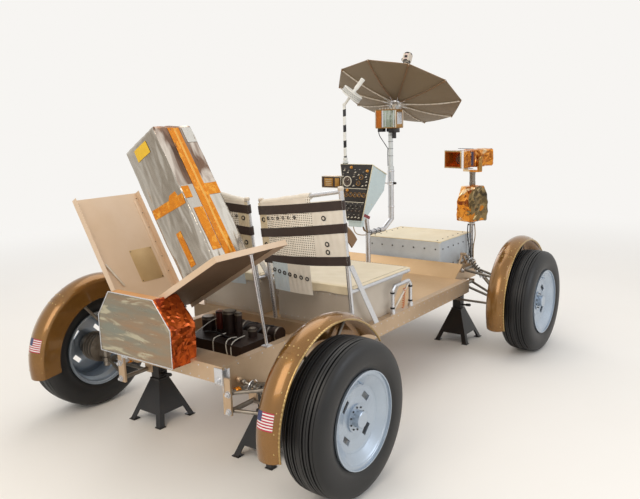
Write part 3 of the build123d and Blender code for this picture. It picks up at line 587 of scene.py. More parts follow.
def aim(start: Point, end: Point) -> Matrix:
    """Return the place whose Z runs from one point to another.

    Args:
        start: The place's origin.
        end: A point on its Z.

    Returns:
        A matrix.
    """
    way = Vector(end) - Vector(start)
    return Matrix.Translation(start) @ way.to_track_quat("Z", "Y").to_matrix().to_4x4()


def basis(origin: Point, x_way: Point, z_way: Point) -> Matrix:
    """Return the place with this X and Z.

    Args:
        origin: The place's origin.
        x_way: Direction of its X.
        z_way: Direction of its Z.

    Returns:
        A matrix.
    """
    z = Vector(z_way).normalized()
    x = Vector(x_way)
    x = (x - z * x.dot(z)).normalized()
    turned = Matrix((x, z.cross(x), z)).transposed()
    return Matrix.Translation(origin) @ turned.to_4x4()


def modify(piece: Piece, kind: str, **settings: object) -> Piece:
    """Add a modifier and apply it.

    Args:
        piece: Object to work on.
        kind: Type name of the modifier.
        **settings: The modifier's settings.

    Returns:
        The same object.
    """
    pick(piece)
    added = piece.modifiers.new(kind.lower(), kind)
    for name, value in settings.items():
        setattr(added, name, value)
    bpy.ops.object.modifier_apply(modifier=added.name)
    return piece


def smooth(piece: Piece, degrees: float = 35.0) -> Piece:
    """Shade a piece smooth across its shallow edges.

    Args:
        piece: Object to shade.
        degrees: Steepest angle that is smoothed.

    Returns:
        The same object.
    """
    pick(piece)
    bpy.ops.object.shade_smooth_by_angle(angle=math.radians(degrees))
    return piece


def add_block(name: str, size: Point, place: Matrix, edge: float = 0.001, rounds: int = 2) -> Piece:
    """Model a block with worn edges, its middle at a place.

    Args:
        name: Name of the piece.
        size: Lengths along the place's X, Y and Z.
        place: Where its middle goes.
        edge: Width of the bevel.
        rounds: Segments of the bevel.

    Returns:
        The piece.
    """
    clear_selection()
    bpy.ops.mesh.primitive_cube_add(size=1.0)
    piece = bpy.context.object
    piece.name = name
    piece.scale = size
    settle(piece, HERE)
    if edge > 0.0:
        modify(piece, "BEVEL", width=edge, segments=rounds, limit_method="ANGLE")
    smooth(piece)
    return settle(piece, place)


def add_round(
    name: str, steps: list[tuple[float, float]], place: Matrix, sides: int = 24, edge: float = 0.0
) -> Piece:
    """Model a turned piece: a disc whose top is extruded and resized step by step.

    Args:
        name: Name of the piece.
        steps: Radius and height of each ring, from the foot to the top.
        place: Where its foot goes; it stands along the place's Z.
        sides: Faces round it.
        edge: Width of the bevel on its edges.

    Returns:
        The piece.
    """
    clear_selection()
    foot_radius, foot_height = steps[0]
    bpy.ops.mesh.primitive_circle_add(vertices=sides, radius=foot_radius, fill_type="NGON")
    piece = bpy.context.object
    piece.name = name
    bpy.ops.object.mode_set(mode="EDIT")
    bpy.ops.mesh.select_all(action="SELECT")
    bpy.ops.transform.translate(value=(0.0, 0.0, foot_height))
    radius, height = foot_radius, foot_height
    for next_radius, next_height in steps[1:]:
        bpy.ops.mesh.extrude_region_move(TRANSFORM_OT_translate={
            "value": (0.0, 0.0, next_height - height)
        })
        share = next_radius / radius
        bpy.ops.transform.resize(value=(share, share, 1.0), center_override=(0.0, 0.0, next_height))
        radius, height = next_radius, next_height
    bpy.ops.mesh.select_all(action="SELECT")
    bpy.ops.mesh.normals_make_consistent(inside=False)
    bpy.ops.object.mode_set(mode="OBJECT")
    if edge > 0.0:
        modify(piece, "BEVEL", width=edge, segments=2, limit_method="ANGLE")
    smooth(piece)
    return settle(piece, place)


def add_rod(
    name: str, start: Point, end: Point, radius: float, sides: int = 16, edge: float = 0.0006
) -> Piece:
    """Model a round bar between two points.

    Args:
        name: Name of the piece.
        start: Middle of one end.
        end: Middle of the other end.
        radius: Its radius.
        sides: Faces round it.
        edge: Bevel of its ends.

    Returns:
        The piece.
    """
    length = (Vector(end) - Vector(start)).length
    return add_round(name, [(radius, 0.0), (radius, length)], aim(start, end), sides, edge)


def add_frame(name: str, corners: list[Point], radius: float, edge: float = 0.0008) -> Piece:
    """Model a closed line of thin round bars.

    Args:
        name: Name of the piece.
        corners: Its corners, in order.
        radius: Radius of the bars.
        edge: Bevel of their ends.

    Returns:
        The piece.
    """
    ends = [*corners[1:], corners[0]]
    return join(name, [add_rod("bar", a, b, radius, 8, edge) for a, b in zip(corners, ends)])


def add_loop(
    name: str, place: Matrix, radius: float, wire: float, sides: int = 32, around: int = 10
) -> Piece:
    """Model a ring of round wire, flattened a little where it was pressed.

    Args:
        name: Name of the piece.
        place: Its middle, with Z along its axis.
        radius: Radius of its line.
        wire: Radius of the wire.
        sides: Segments along it.
        around: Segments of the wire.

    Returns:
        The piece.
    """
    clear_selection()
    bpy.ops.mesh.primitive_torus_add(
        major_radius=radius, minor_radius=wire, major_segments=sides, minor_segments=around
    )
    piece = bpy.context.object
    piece.name = name
    piece.scale = (1.0, 1.0, 0.9)
    settle(piece, HERE)
    smooth(piece, 60.0)
    return settle(piece, place)


def add_lead(name: str, points: list[Point], radius: float, sides: int = 8) -> Piece:
    """Model a fixed lead that is clipped to the structure at both ends.

    Args:
        name: Name of the piece.
        points: Control points of its smooth line.
        radius: Its radius.
        sides: Faces round it, four at least.

    Returns:
        The piece, as a mesh.
    """
    clear_selection()
    line = bpy.data.curves.new(name, "CURVE")
    line.dimensions = "3D"
    line.bevel_depth = radius
    line.bevel_resolution = max(sides // 4 - 1, 0)
    line.resolution_u = 6
    line.use_fill_caps = True
    spline = line.splines.new("NURBS")
    spline.points.add(len(points) - 1)
    for knot, point in zip(spline.points, points):
        knot.co = (*point, 1.0)
    spline.order_u = 3
    spline.use_endpoint_u = True
    piece = bpy.data.objects.new(name, line)
    bpy.context.scene.collection.objects.link(piece)
    pick(piece)
    bpy.ops.object.convert(target="MESH")
    return smooth(bpy.context.object, 60.0)


def add_leads(name: str, rows: list[tuple[float, list[Point]]], sides: int = 8) -> Piece:
    """Model several leads as one piece.

    Args:
        name: Name of the piece.
        rows: Radius and path of each lead.
        sides: Sides of their sections.

    Returns:
        The piece.
    """
    return join(name, [add_lead("lead", path, radius, sides) for radius, path in rows])


def add_turned(
    name: str, profile: list[tuple[float, float]], place: Matrix, steps: int, start: float = 0.0,
    sweep: float = 360.0
) -> Piece:
    """Model a closed section spun about an axis.

    Args:
        name: Name of the piece.
        profile: Closed section as distance along the axis and radius.
        place: The axis is the place's Y; angles run from its X towards its Z.
        steps: Segments of the turn.
        start: First angle in degrees.
        sweep: Angle in degrees, 360 for a whole turn.

    Returns:
        The piece.
    """
    clear_selection()
    bpy.ops.mesh.primitive_circle_add(vertices=len(profile), radius=0.1, fill_type="NOTHING")
    piece = bpy.context.object
    piece.name = name
    first = math.radians(start)
    for vertex, (along, radius) in zip(piece.data.vertices, profile):
        vertex.co = (radius * math.cos(first), along, radius * math.sin(first))
    whole = abs(sweep - 360.0) < 1e-6
    bpy.ops.object.mode_set(mode="EDIT")
    bpy.ops.mesh.select_all(action="SELECT")
    if not whole:
        bpy.ops.mesh.edge_face_add()
    bpy.ops.mesh.spin(
        steps=steps, angle=math.radians(sweep), center=(0.0, 0.0, 0.0), axis=(0.0, 1.0, 0.0)
    )
    bpy.ops.mesh.select_all(action="SELECT")
    bpy.ops.mesh.remove_doubles(threshold=0.00002)
    bpy.ops.mesh.normals_make_consistent(inside=False)
    bpy.ops.object.mode_set(mode="OBJECT")
    smooth(piece, 30.0)
    settle(piece, place)
    if place.to_3x3().determinant() < 0.0:
        turn_out(piece)
    return piece


def add_prism(
    name: str, outline: list[tuple[float, float]], place: Matrix, depth: float, edge: float = 0.0
) -> Piece:
    """Model a plate or a box of any outline.

    Args:
        name: Name of the piece.
        outline: Corners in the place's X and Y, in order.
        place: Where it goes; it rises along the place's Z.
        depth: Its thickness.
        edge: Width of the bevel.

    Returns:
        The piece.
    """
    clear_selection()
    bpy.ops.mesh.primitive_circle_add(vertices=len(outline), radius=0.1, fill_type="NOTHING")
    piece = bpy.context.object
    piece.name = name
    for vertex, (x, y) in zip(piece.data.vertices, outline):
        vertex.co = (x, y, 0.0)
    bpy.ops.object.mode_set(mode="EDIT")
    bpy.ops.mesh.select_all(action="SELECT")
    bpy.ops.mesh.edge_face_add()
    bpy.ops.mesh.extrude_region_move(TRANSFORM_OT_translate={"value": (0.0, 0.0, depth)})
    bpy.ops.mesh.select_all(action="SELECT")
    bpy.ops.mesh.normals_make_consistent(inside=False)
    bpy.ops.object.mode_set(mode="OBJECT")
    if edge > 0.0:
        modify(piece, "BEVEL", width=edge, segments=2, limit_method="ANGLE")
    smooth(piece)
    return settle(piece, place)


def add_grid(name: str, columns: int, rows: int) -> Piece:
    """Add a flat grid one metre wide, to be laid out point by point.

    Args:
        name: Name of the piece.
        columns: Faces along X.
        rows: Faces along Y.

    Returns:
        The piece.
    """
    clear_selection()
    bpy.ops.mesh.primitive_grid_add(x_subdivisions=columns, y_subdivisions=rows, size=1.0)
    piece = bpy.context.object
    piece.name = name
    return piece


def turn_out(piece: Piece) -> Piece:
    """Make all faces of a piece point outwards.

    Args:
        piece: Object to mend.

    Returns:
        The same object.
    """
    pick(piece)
    bpy.ops.object.mode_set(mode="EDIT")
    bpy.ops.mesh.select_all(action="SELECT")
    bpy.ops.mesh.normals_make_consistent(inside=False)
    bpy.ops.object.mode_set(mode="OBJECT")
    return piece


def copies(name: str, model: Piece, places: list[Matrix]) -> Piece:
    """Copy one modelled piece to many places and join the copies.

    Args:
        name: Name of the joined piece.
        model: Piece modelled at the origin; it is used up.
        places: Where each copy goes.

    Returns:
        The joined piece.
    """
    made = []
    for place in places:
        twin = model.copy()
        twin.data = model.data.copy()
        twin.data.transform(place)
        bpy.context.scene.collection.objects.link(twin)
        made.append(twin)
    bpy.data.objects.remove(model)
    return join(name, made)


def join(name: str, pieces: list[Piece]) -> Piece:
    """Join pieces into one object.

    Args:
        name: Name of the joined piece.
        pieces: Objects to join; they are used up.

    Returns:
        The joined piece.
    """
    pick(*pieces)
    if len(pieces) > 1:
        bpy.ops.object.join()
    whole = bpy.context.object
    whole.name = name
    return whole


def paint(piece: Piece, finish: Finish) -> Piece:
    """Give a piece one finish.

    Args:
        piece: Object to dress.
        finish: Its finish.

    Returns:
        The same object.
    """
    piece.data.materials.clear()
    piece.data.materials.append(finish.material())
    return piece


def hand_over(piece: Piece, body: str = "chassis") -> Piece:
    """Give a finished piece to its body.

    Args:
        piece: Finished object.
        body: CAD body that it rides on.

    Returns:
        The same object.
    """
    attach(piece, body)
    LOG.info("%s rides on %s, %d faces", piece.name, body, len(piece.data.polygons))
    return piece


def deliver(
    piece: Piece, finish: Finish, body: str = "chassis", outward: bool = False
) -> Piece:
    """Paint a finished piece and hand it over to its body.

    Args:
        piece: The piece.
        finish: Its finish.
        body: CAD body that it rides on.
        outward: Whether its faces are turned outwards first.

    Returns:
        The piece.
    """
    if outward:
        turn_out(piece)
    paint(piece, finish)
    return hand_over(piece, body)


def node_copy(node: str, name: str, detail: float) -> Piece:
    """Copy a CAD node's mesh, weld it and cut its faces finer.

    Args:
        node: Name of the CAD node.
        name: Name of the new piece.
        detail: Size of the voxels in metres.

    Returns:
        A closed mesh of even faces.
    """
    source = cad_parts[node]
    piece = bpy.data.objects.new(name, source.data.copy())
    bpy.context.scene.collection.objects.link(piece)
    piece.matrix_world = source.matrix_world.copy()
    pick(piece)
    bpy.ops.object.transform_apply(location=True, rotation=True, scale=True)
    bpy.ops.object.mode_set(mode="EDIT")
    bpy.ops.mesh.select_all(action="SELECT")
    bpy.ops.mesh.remove_doubles(threshold=0.00005)
    bpy.ops.object.mode_set(mode="OBJECT")
    return modify(piece, "REMESH", mode="VOXEL", voxel_size=detail)


def crumple(
    piece: Piece, size: float, depth: float, seed: float, inward: float = 0.6,
    place: Matrix | None = None, stretch: Point = (1.0, 1.0, 1.0)
) -> Piece:
    """Crease a film-covered piece by moving its points along their normals.

    Args:
        piece: Object of even faces.
        size: Size of a crease in metres.
        depth: Deepest crease in metres.
        seed: Shift of the noise, so that two pieces differ.
        inward: Share of the depth that goes inwards.
        place: Place whose axes the creases follow.
        stretch: How many times longer they are along each of its axes.

    Returns:
        The same object.
    """
    mesh = piece.data
    back = (place or HERE).inverted()
    moves = []
    for vertex in mesh.vertices:
        spot = back @ vertex.co
        spot = Vector([c / (size * s) + seed for c, s in zip(spot, stretch)])
        fold = noise.ridged_multi_fractal(spot, 0.9, 2.1, 3, 1.0, 2.0)
        wave = noise.noise(spot * 0.45)
        moves.append(vertex.normal * depth * ((fold * 0.5 + wave * 0.6) - inward))
    for vertex, move in zip(mesh.vertices, moves):
        vertex.co = vertex.co + move
    mesh.update()
    return piece


FINE = 0.004  # width of a laid strip's faces


def lay_on(
    name: str, target: Piece, place: Matrix, size: tuple[float, float], finish: Finish,
    lift: float = 0.0012
) -> Piece:
    """Lay a thin strip on a crumpled surface, so that it follows every fold.

    Args:
        name: Name of the strip.
        target: Surface that it lies on.
        place: The strip's middle, X along it and Z out of the surface.
        size: Its length and width.
        finish: Its finish.
        lift: Height of its inner face above the surface.

    Returns:
        The strip.
    """
    strip = add_grid(name, max(int(size[0] / FINE), 2), max(int(size[1] / FINE), 2))
    strip.scale = (size[0], size[1], 1.0)
    settle(strip, HERE)
    strip.matrix_world = place
    bpy.context.view_layer.update()
    modify(
        strip, "SHRINKWRAP", target=target, wrap_method="PROJECT", use_project_z=True,
        use_negative_direction=True, use_positive_direction=True, offset=lift
    )
    settle(strip, HERE)
    modify(strip, "SMOOTH", factor=0.5, iterations=2)
    modify(strip, "SOLIDIFY", thickness=0.0008, offset=1.0)
    smooth(strip, 35.0)
    return paint(strip, finish)


def facet(piece: Piece, share: float, degrees: float = 12.0) -> Piece:
    """Merge the faces of a crumpled piece into flat facets with sharp folds.

    Args:
        piece: Object of even faces.
        share: Share of the faces that is kept.
        degrees: Steepest fold that is still shaded smooth.

    Returns:
        The same object.
    """
    modify(piece, "DECIMATE", ratio=share)
    return smooth(piece, degrees)


@dataclass
class Studio:
    """Camera, plain floor and soft lights.

    The camera stands at the viewing angle that was worked out from the wheels and the deck.
    """

    eye: Point = (-3.4527, -2.522, 1.6188)
    yaw: float = 36.78
    pitch: float = -10.64
    roll: float = -1.553
    focal_mm: float = 38.6
    sensor_mm: float = 36.0
    far: float = 200.0
    floor_size: float = 60.0
    room: str = "#f7f5f2"

    def camera(self) -> None:
        """Set up the camera at the viewing angle."""
        yaw, pitch = math.radians(self.yaw), math.radians(self.pitch)
        forward = Vector((
            math.cos(pitch) * math.cos(yaw), math.cos(pitch) * math.sin(yaw), math.sin(pitch)
        ))
        level = forward.cross(Vector((0.0, 0.0, 1.0))).normalized()
        upright = level.cross(forward)
        lean = math.radians(self.roll)
        right = level * math.cos(lean) + upright * math.sin(lean)
        above = upright * math.cos(lean) - level * math.sin(lean)
        turned = Matrix((right, above, -forward)).transposed().to_4x4()
        lens = bpy.data.cameras.new("view_camera")
        lens.lens = self.focal_mm
        lens.sensor_width = self.sensor_mm
        lens.clip_end = self.far
        holder = bpy.data.objects.new("view_camera", lens)
        holder.matrix_world = Matrix.Translation(self.eye) @ turned
        bpy.context.scene.collection.objects.link(holder)
        bpy.context.scene.camera = holder

    def floor(self) -> None:
        """Lay the plain pale floor, which fades into the room far away."""
        clear_selection()
        bpy.ops.mesh.primitive_plane_add(size=self.floor_size, location=(0.0, 0.0, -0.0005))
        ground = bpy.context.object
        ground.name = "studio_floor"
        surface = Finish("pale_studio_floor", "#efedea", "#ebe8e4", 0.0, 0.8, 900.0, 0.5, 2.0, 0.0)
        paint(ground, surface)
        self.fade(surface.material())

    def fade(self, made: bpy.types.Material) -> None:
        """Let the floor meet the room's colour far away, for the camera alone.

        Args:
            made: The floor's material.
        """
        tree = made.node_tree
        output = next(node for node in tree.nodes if node.type == "OUTPUT_MATERIAL")
        near = output.inputs["Surface"].links[0].from_socket
        place = add_node(tree, "ShaderNodeTexCoord").outputs["Object"]
        away = add_node(tree, "ShaderNodeVectorMath", {0: place}, operation="LENGTH")
        share = add_node(
            tree, "ShaderNodeMapRange", {0: away.outputs["Value"], 1: 2.4, 2: 8.0, 3: 0.0, 4: 1.0},
            interpolation_type="SMOOTHSTEP"
        ).outputs[0]
        seen = add_node(tree, "ShaderNodeLightPath").outputs["Is Camera Ray"]
        both = add_node(
            tree, "ShaderNodeMath", {0: share, 1: seen}, operation="MULTIPLY"
        ).outputs[0]
        plain = add_node(tree, "ShaderNodeEmission", {0: linear(self.room), 1: 1.0}).outputs[0]
        mixed = add_node(tree, "ShaderNodeMixShader", {0: both, 1: near, 2: plain}).outputs[0]
        tree.links.new(mixed, output.inputs["Surface"])

    def world(self) -> None:
        """Light the room evenly, and show it white to the camera and in reflections."""
        room = bpy.data.worlds.new("studio_room")
        bpy.context.scene.world = room
        room.use_nodes = True
        tree = room.node_tree
        tree.nodes.clear()
        path = add_node(tree, "ShaderNodeLightPath")
        seen = add_node(
            tree, "ShaderNodeMath",
            {0: path.outputs["Is Camera Ray"], 1: path.outputs["Is Glossy Ray"]},
            operation="MAXIMUM"
        ).outputs[0]
        seen = add_node(
            tree, "ShaderNodeMath", {0: seen, 1: path.outputs["Is Transmission Ray"]},
            operation="MAXIMUM"
        ).outputs[0]
        soft = add_node(tree, "ShaderNodeBackground", {0: linear("#f4f2ee"), 1: 0.86})
        plain = add_node(tree, "ShaderNodeBackground", {0: linear(self.room), 1: 1.0})
        both = add_node(
            tree, "ShaderNodeMixShader", {0: seen, 1: soft.outputs[0], 2: plain.outputs[0]}
        )
        add_node(tree, "ShaderNodeOutputWorld", {"Surface": both.outputs[0]})

    def lights(self) -> None:
        """Hang the warm and the cool soft lights."""
        for name, spot, target, size, power, colour in (
            ("key_softbox", (-4.2, -1.0, 3.6), (-0.4, -0.2, 0.6), 2.6, 70.0, "#fff1dd"),
            ("side_softbox", (0.6, -4.6, 2.8), (0.2, -0.4, 0.6), 2.4, 42.0, "#eaf2ff"),
            ("top_softbox", (1.0, 1.0, 4.6), (0.2, 0.2, 0.6), 3.4, 52.0, "#fff6ea"),
            ("far_softbox", (3.4, 3.6, 2.6), (0.2, 0.2, 0.8), 2.4, 28.0, "#f2f4ff")
        ):
            lamp = bpy.data.lights.new(name, "AREA")
            lamp.shape = "SQUARE"
            lamp.size = size
            lamp.energy = power
            lamp.color = linear(colour)[:3]
            holder = bpy.data.objects.new(name, lamp)
            holder.matrix_world = aim(spot, target) @ Matrix.Rotation(math.pi, 4, "X")
            bpy.context.scene.collection.objects.link(holder)

    def build(self) -> None:
        """Build the whole studio."""
        self.camera()
        self.floor()
        self.world()
        self.lights()
        bpy.context.scene.view_settings.view_transform = "Standard"


def dress_nodes() -> None:
    """Give every CAD node its finish."""
    for node, (_, finish) in NODE_FINISH.items():
        paint(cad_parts[node], finish)


@dataclass
class Corner:
    """One corner of the rover: its name, its ways and where its wheel stands."""

    corner: str
    front: int
    side: int
    axle_x: float = 1.143
    track_y: float = 0.914
    hub_z: float = 0.35

    def hub(self, way: int = 1) -> Matrix:
        """Return the place of the wheel's middle.

        Args:
            way: 1 where Y points outboard, -1 where it points inboard.

        Returns:
            A matrix, mirrored on one side of the rover.
        """
        spot = moved(self.front * self.axle_x, self.side * self.track_y, self.hub_z)
        return spot @ Matrix.Diagonal((1.0, way * self.side, 1.0, 1.0))


@dataclass
class Wheel(Corner):
    """One wheel: the grooved tyre that replaces the plain one, and the trim on its rim."""

    crown: float = 0.35
    shoulder: float = 0.08
    grooves: tuple[tuple[float, float, float], ...] = (
        (0.072, 0.0012, 0.003), (0.056, 0.0042, 0.0085), (0.041, 0.0014, 0.004),
        (0.026, 0.0042, 0.0085), (0.012, 0.0014, 0.004)
    )

    def tread_radius(self, across: float) -> float:
        """Return the radius of the tread.

        Args:
            across: Distance from the wheel's middle plane.

        Returns:
            Radius in metres.
        """
        return self.crown - 0.0075 * (abs(across) / self.shoulder) ** 2.2

    def section(self) -> list[tuple[float, float]]:
        """Return the tyre's closed section, from the outboard bead over the tread and back."""
        wall = [
            (0.088, 0.205), (0.0885, 0.218), (0.0925, 0.224), (0.093, 0.23), (0.0985, 0.238),
            (0.103, 0.252), (0.1048, 0.27), (0.1046, 0.288), (0.1028, 0.304), (0.099, 0.318),
            (0.0935, 0.329), (0.0865, 0.3375)
        ]
        half = list(wall)
        for middle, wide, deep in self.grooves:
            top = self.tread_radius(middle)
            half += [
                (middle + wide + 0.001, top), (middle + wide, top - 0.001),
                (middle + wide * 0.7, top - deep), (middle - wide * 0.7, top - deep),
                (middle - wide, top - 0.001), (middle - wide - 0.001, top)
            ]
        half.append((0.0035, self.crown))
        other = [(-x, r) for x, r in reversed(half)]
        liner = [(-0.076, 0.205), (-0.092, 0.262), (-0.074, 0.334)]
        back = [(-x, r) for x, r in reversed(liner)]
        return half + other + liner + back

    def tyre(self) -> None:
        """Spin the tyre and hide the plain one."""
        name = f"{self.corner}_grooved_tyre"
        piece = add_turned(name, self.section(), self.hub(), 112)
        turn_out(piece)
        paint(piece, TYRE_RUBBER)
        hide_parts(f"{self.corner}_tyre")
        hand_over(piece, f"{self.corner}_wheel")

    def rim_trim(self) -> None:
        """Model the hub bolts, the valve and the pressed rings of the rim."""
        bolt = add_round("bolt", [(0.0046, 0.0), (0.0046, 0.0034), (0.0026, 0.004)], HERE, 6)
        places = []
        for number in range(10):
            angle = math.radians(36.0 * number + 18.0)
            spot = (0.05 * math.cos(angle), 0.0572, 0.05 * math.sin(angle))
            places.append(self.hub() @ aim(spot, (spot[0], 0.1, spot[2])))
        deliver(
            copies(f"{self.corner}_hub_bolts", bolt, places), STAND_ENAMEL,
            f"{self.corner}_wheel", outward=True
        )
        rings = []
        for across, radius, wire in ((0.0882, 0.1975, 0.0022), (0.06, 0.1515, 0.0016)):
            profile = [
                (across + wire * math.sin(turn), radius + wire * math.cos(turn))
                for turn in [math.pi / 4 * step for step in range(8)]
            ]
            rings.append(add_turned("ring", profile, self.hub(), 96))
        stem = add_round(
            "stem", [(0.0045, 0.0), (0.0045, 0.016), (0.0032, 0.017), (0.0032, 0.024)],
            self.hub() @ aim((0.0, 0.07, 0.168), (0.0, 0.098, 0.16)), 12
        )
        deliver(
            join(f"{self.corner}_rim_rings", [*rings, stem]), WHEEL_SILVER,
            f"{self.corner}_wheel", outward=True
        )

    def build(self) -> None:
        """Build the wheel."""
        self.tyre()
        self.rim_trim()


@dataclass
class Fender(Corner):
    """One fender's trim: edge bead, seam strap, rivets and, on the rear ones, a decal."""

    bead: float = 0.0052
    first: float = 35.0

    def seam(self) -> float:
        """Return the seam's angle round the wheel in degrees."""
        return 124.0 - 1.4 * self.front

    def last(self) -> float:
        """Return the angle at which the sheet ends behind the wheel."""
        return 198.0 if self.front > 0 else 188.0

    @staticmethod
    def skin(across: float) -> float:
        """Return the sheet's outer radius.

        Args:
            across: Distance inboard of the wheel's middle plane.

        Returns:
            Radius in metres.
        """
        if across <= 0.146:
            return 0.36093 + math.sqrt(0.08265**2 - (across - 0.093786) ** 2)
        return 0.425 - (across - 0.146) / 0.012 * 0.023 + 0.0012

    def edge(self) -> None:
        """Spin the bright bead along the outboard edge."""
        profile = [
            (0.034 + self.bead * math.sin(turn), 0.417 + self.bead * math.cos(turn))
            for turn in [math.pi / 5 * step for step in range(10)]
        ]
        piece = add_turned(
            f"{self.corner}_fender_bead", profile, self.hub(-1), 60, self.first,
            self.last() - self.first
        )
        deliver(piece, FENDER_TRIM, f"{self.corner}_upright", outward=True)

    def strap(self) -> None:
        """Spin the strap over the seam, and set the rivets along the sheet."""
        ends = [0.037 + 0.0109 * step for step in range(11)] + [0.156]
        outer = [(x, self.skin(x) + 0.0016) for x in ends]
        inner = [(x, self.skin(x) - 0.0004) for x in reversed(ends)]
        strap = add_turned("strap", outer + inner, self.hub(-1), 6, self.seam(), 2.6)
        rivet = add_round("rivet", [(0.0036, -0.0006), (0.0036, 0.0006), (0.002, 0.0019)], HERE, 8)
        places = []
        for across in (0.05, 0.15):
            angle = self.first + 4.0
            while angle < self.last() - 3.0:
                places.append(self.rivet_place(across, angle))
                angle += 11.0
        for across in (0.062, 0.084, 0.106, 0.128):
            for shift in (-2.2, 5.6):
                places.append(self.rivet_place(across, self.seam() + shift))
        rivets = copies("rivets", rivet, places)
        turn_out(rivets)
        turn_out(strap)
        paint(strap, FENDER_BRONZE)
        paint(rivets, FENDER_TRIM)
        hand_over(
            join(f"{self.corner}_fender_strap", [strap, rivets]),
            f"{self.corner}_upright"
        )

    def rivet_place(self, across: float, angle: float) -> Matrix:
        """Return the place of a rivet on the sheet.

        Args:
            across: Distance inboard of the wheel's middle plane.
            angle: Angle round the wheel in degrees.

        Returns:
            A matrix with Z out of the sheet.
        """
        turn = math.radians(angle)
        radius = self.skin(across)
        foot = (radius * math.cos(turn), across, radius * math.sin(turn))
        tip = ((radius + 0.01) * math.cos(turn), across, (radius + 0.01) * math.sin(turn))
        return self.hub(-1) @ aim(foot, tip)

    def band(self, low: float, high: float, near: float, far: float, lift: float) -> Piece:
        """Spin a thin patch that lies on the sheet.

        Args:
            low: Lower angle in degrees.
            high: Higher angle in degrees.
            near: Outboard end across the sheet.
            far: Inboard end across the sheet.
            lift: Height of its face above the sheet.

        Returns:
            The patch.
        """
        ends = [near + (far - near) * step / 10.0 for step in range(11)]
        outer = [(x, self.skin(x) + lift) for x in ends]
        inner = [(x, self.skin(x) - 0.0003) for x in reversed(ends)]
        steps = max(int((high - low) / 1.2), 2)
        return turn_out(add_turned("band", outer + inner, self.hub(-1), steps, low, high - low))

    def decal(self) -> None:
        """Lay the striped decal with its plain blue corner on a rear fender."""
        top = 160.5 if self.side < 0 else 158.0
        near, far = (0.056, 0.148) if self.side < 0 else (0.056, 0.152)
        ground = paint(self.band(top, top + 9.6, near, far, 0.0006), FLAG_WHITE)
        parts = [ground]
        step = 9.6 / 13.0
        for number in range(0, 13, 2):
            low = top + number * step
            parts.append(paint(self.band(low, low + step, near, far, 0.0009), FLAG_RED))
        split = near + 0.6 * (far - near) if self.side < 0 else near + 0.4 * (far - near)
        corner = (split, far) if self.side < 0 else (near, split)
        parts.append(paint(self.band(top, top + 7 * step, *corner, 0.0012), FLAG_BLUE))
        hand_over(
            join(f"{self.corner}_striped_decal", parts), f"{self.corner}_upright"
        )

    def build(self) -> None:
        """Build the fender's trim."""
        self.edge()
        self.strap()
        if self.front < 0:
            self.decal()


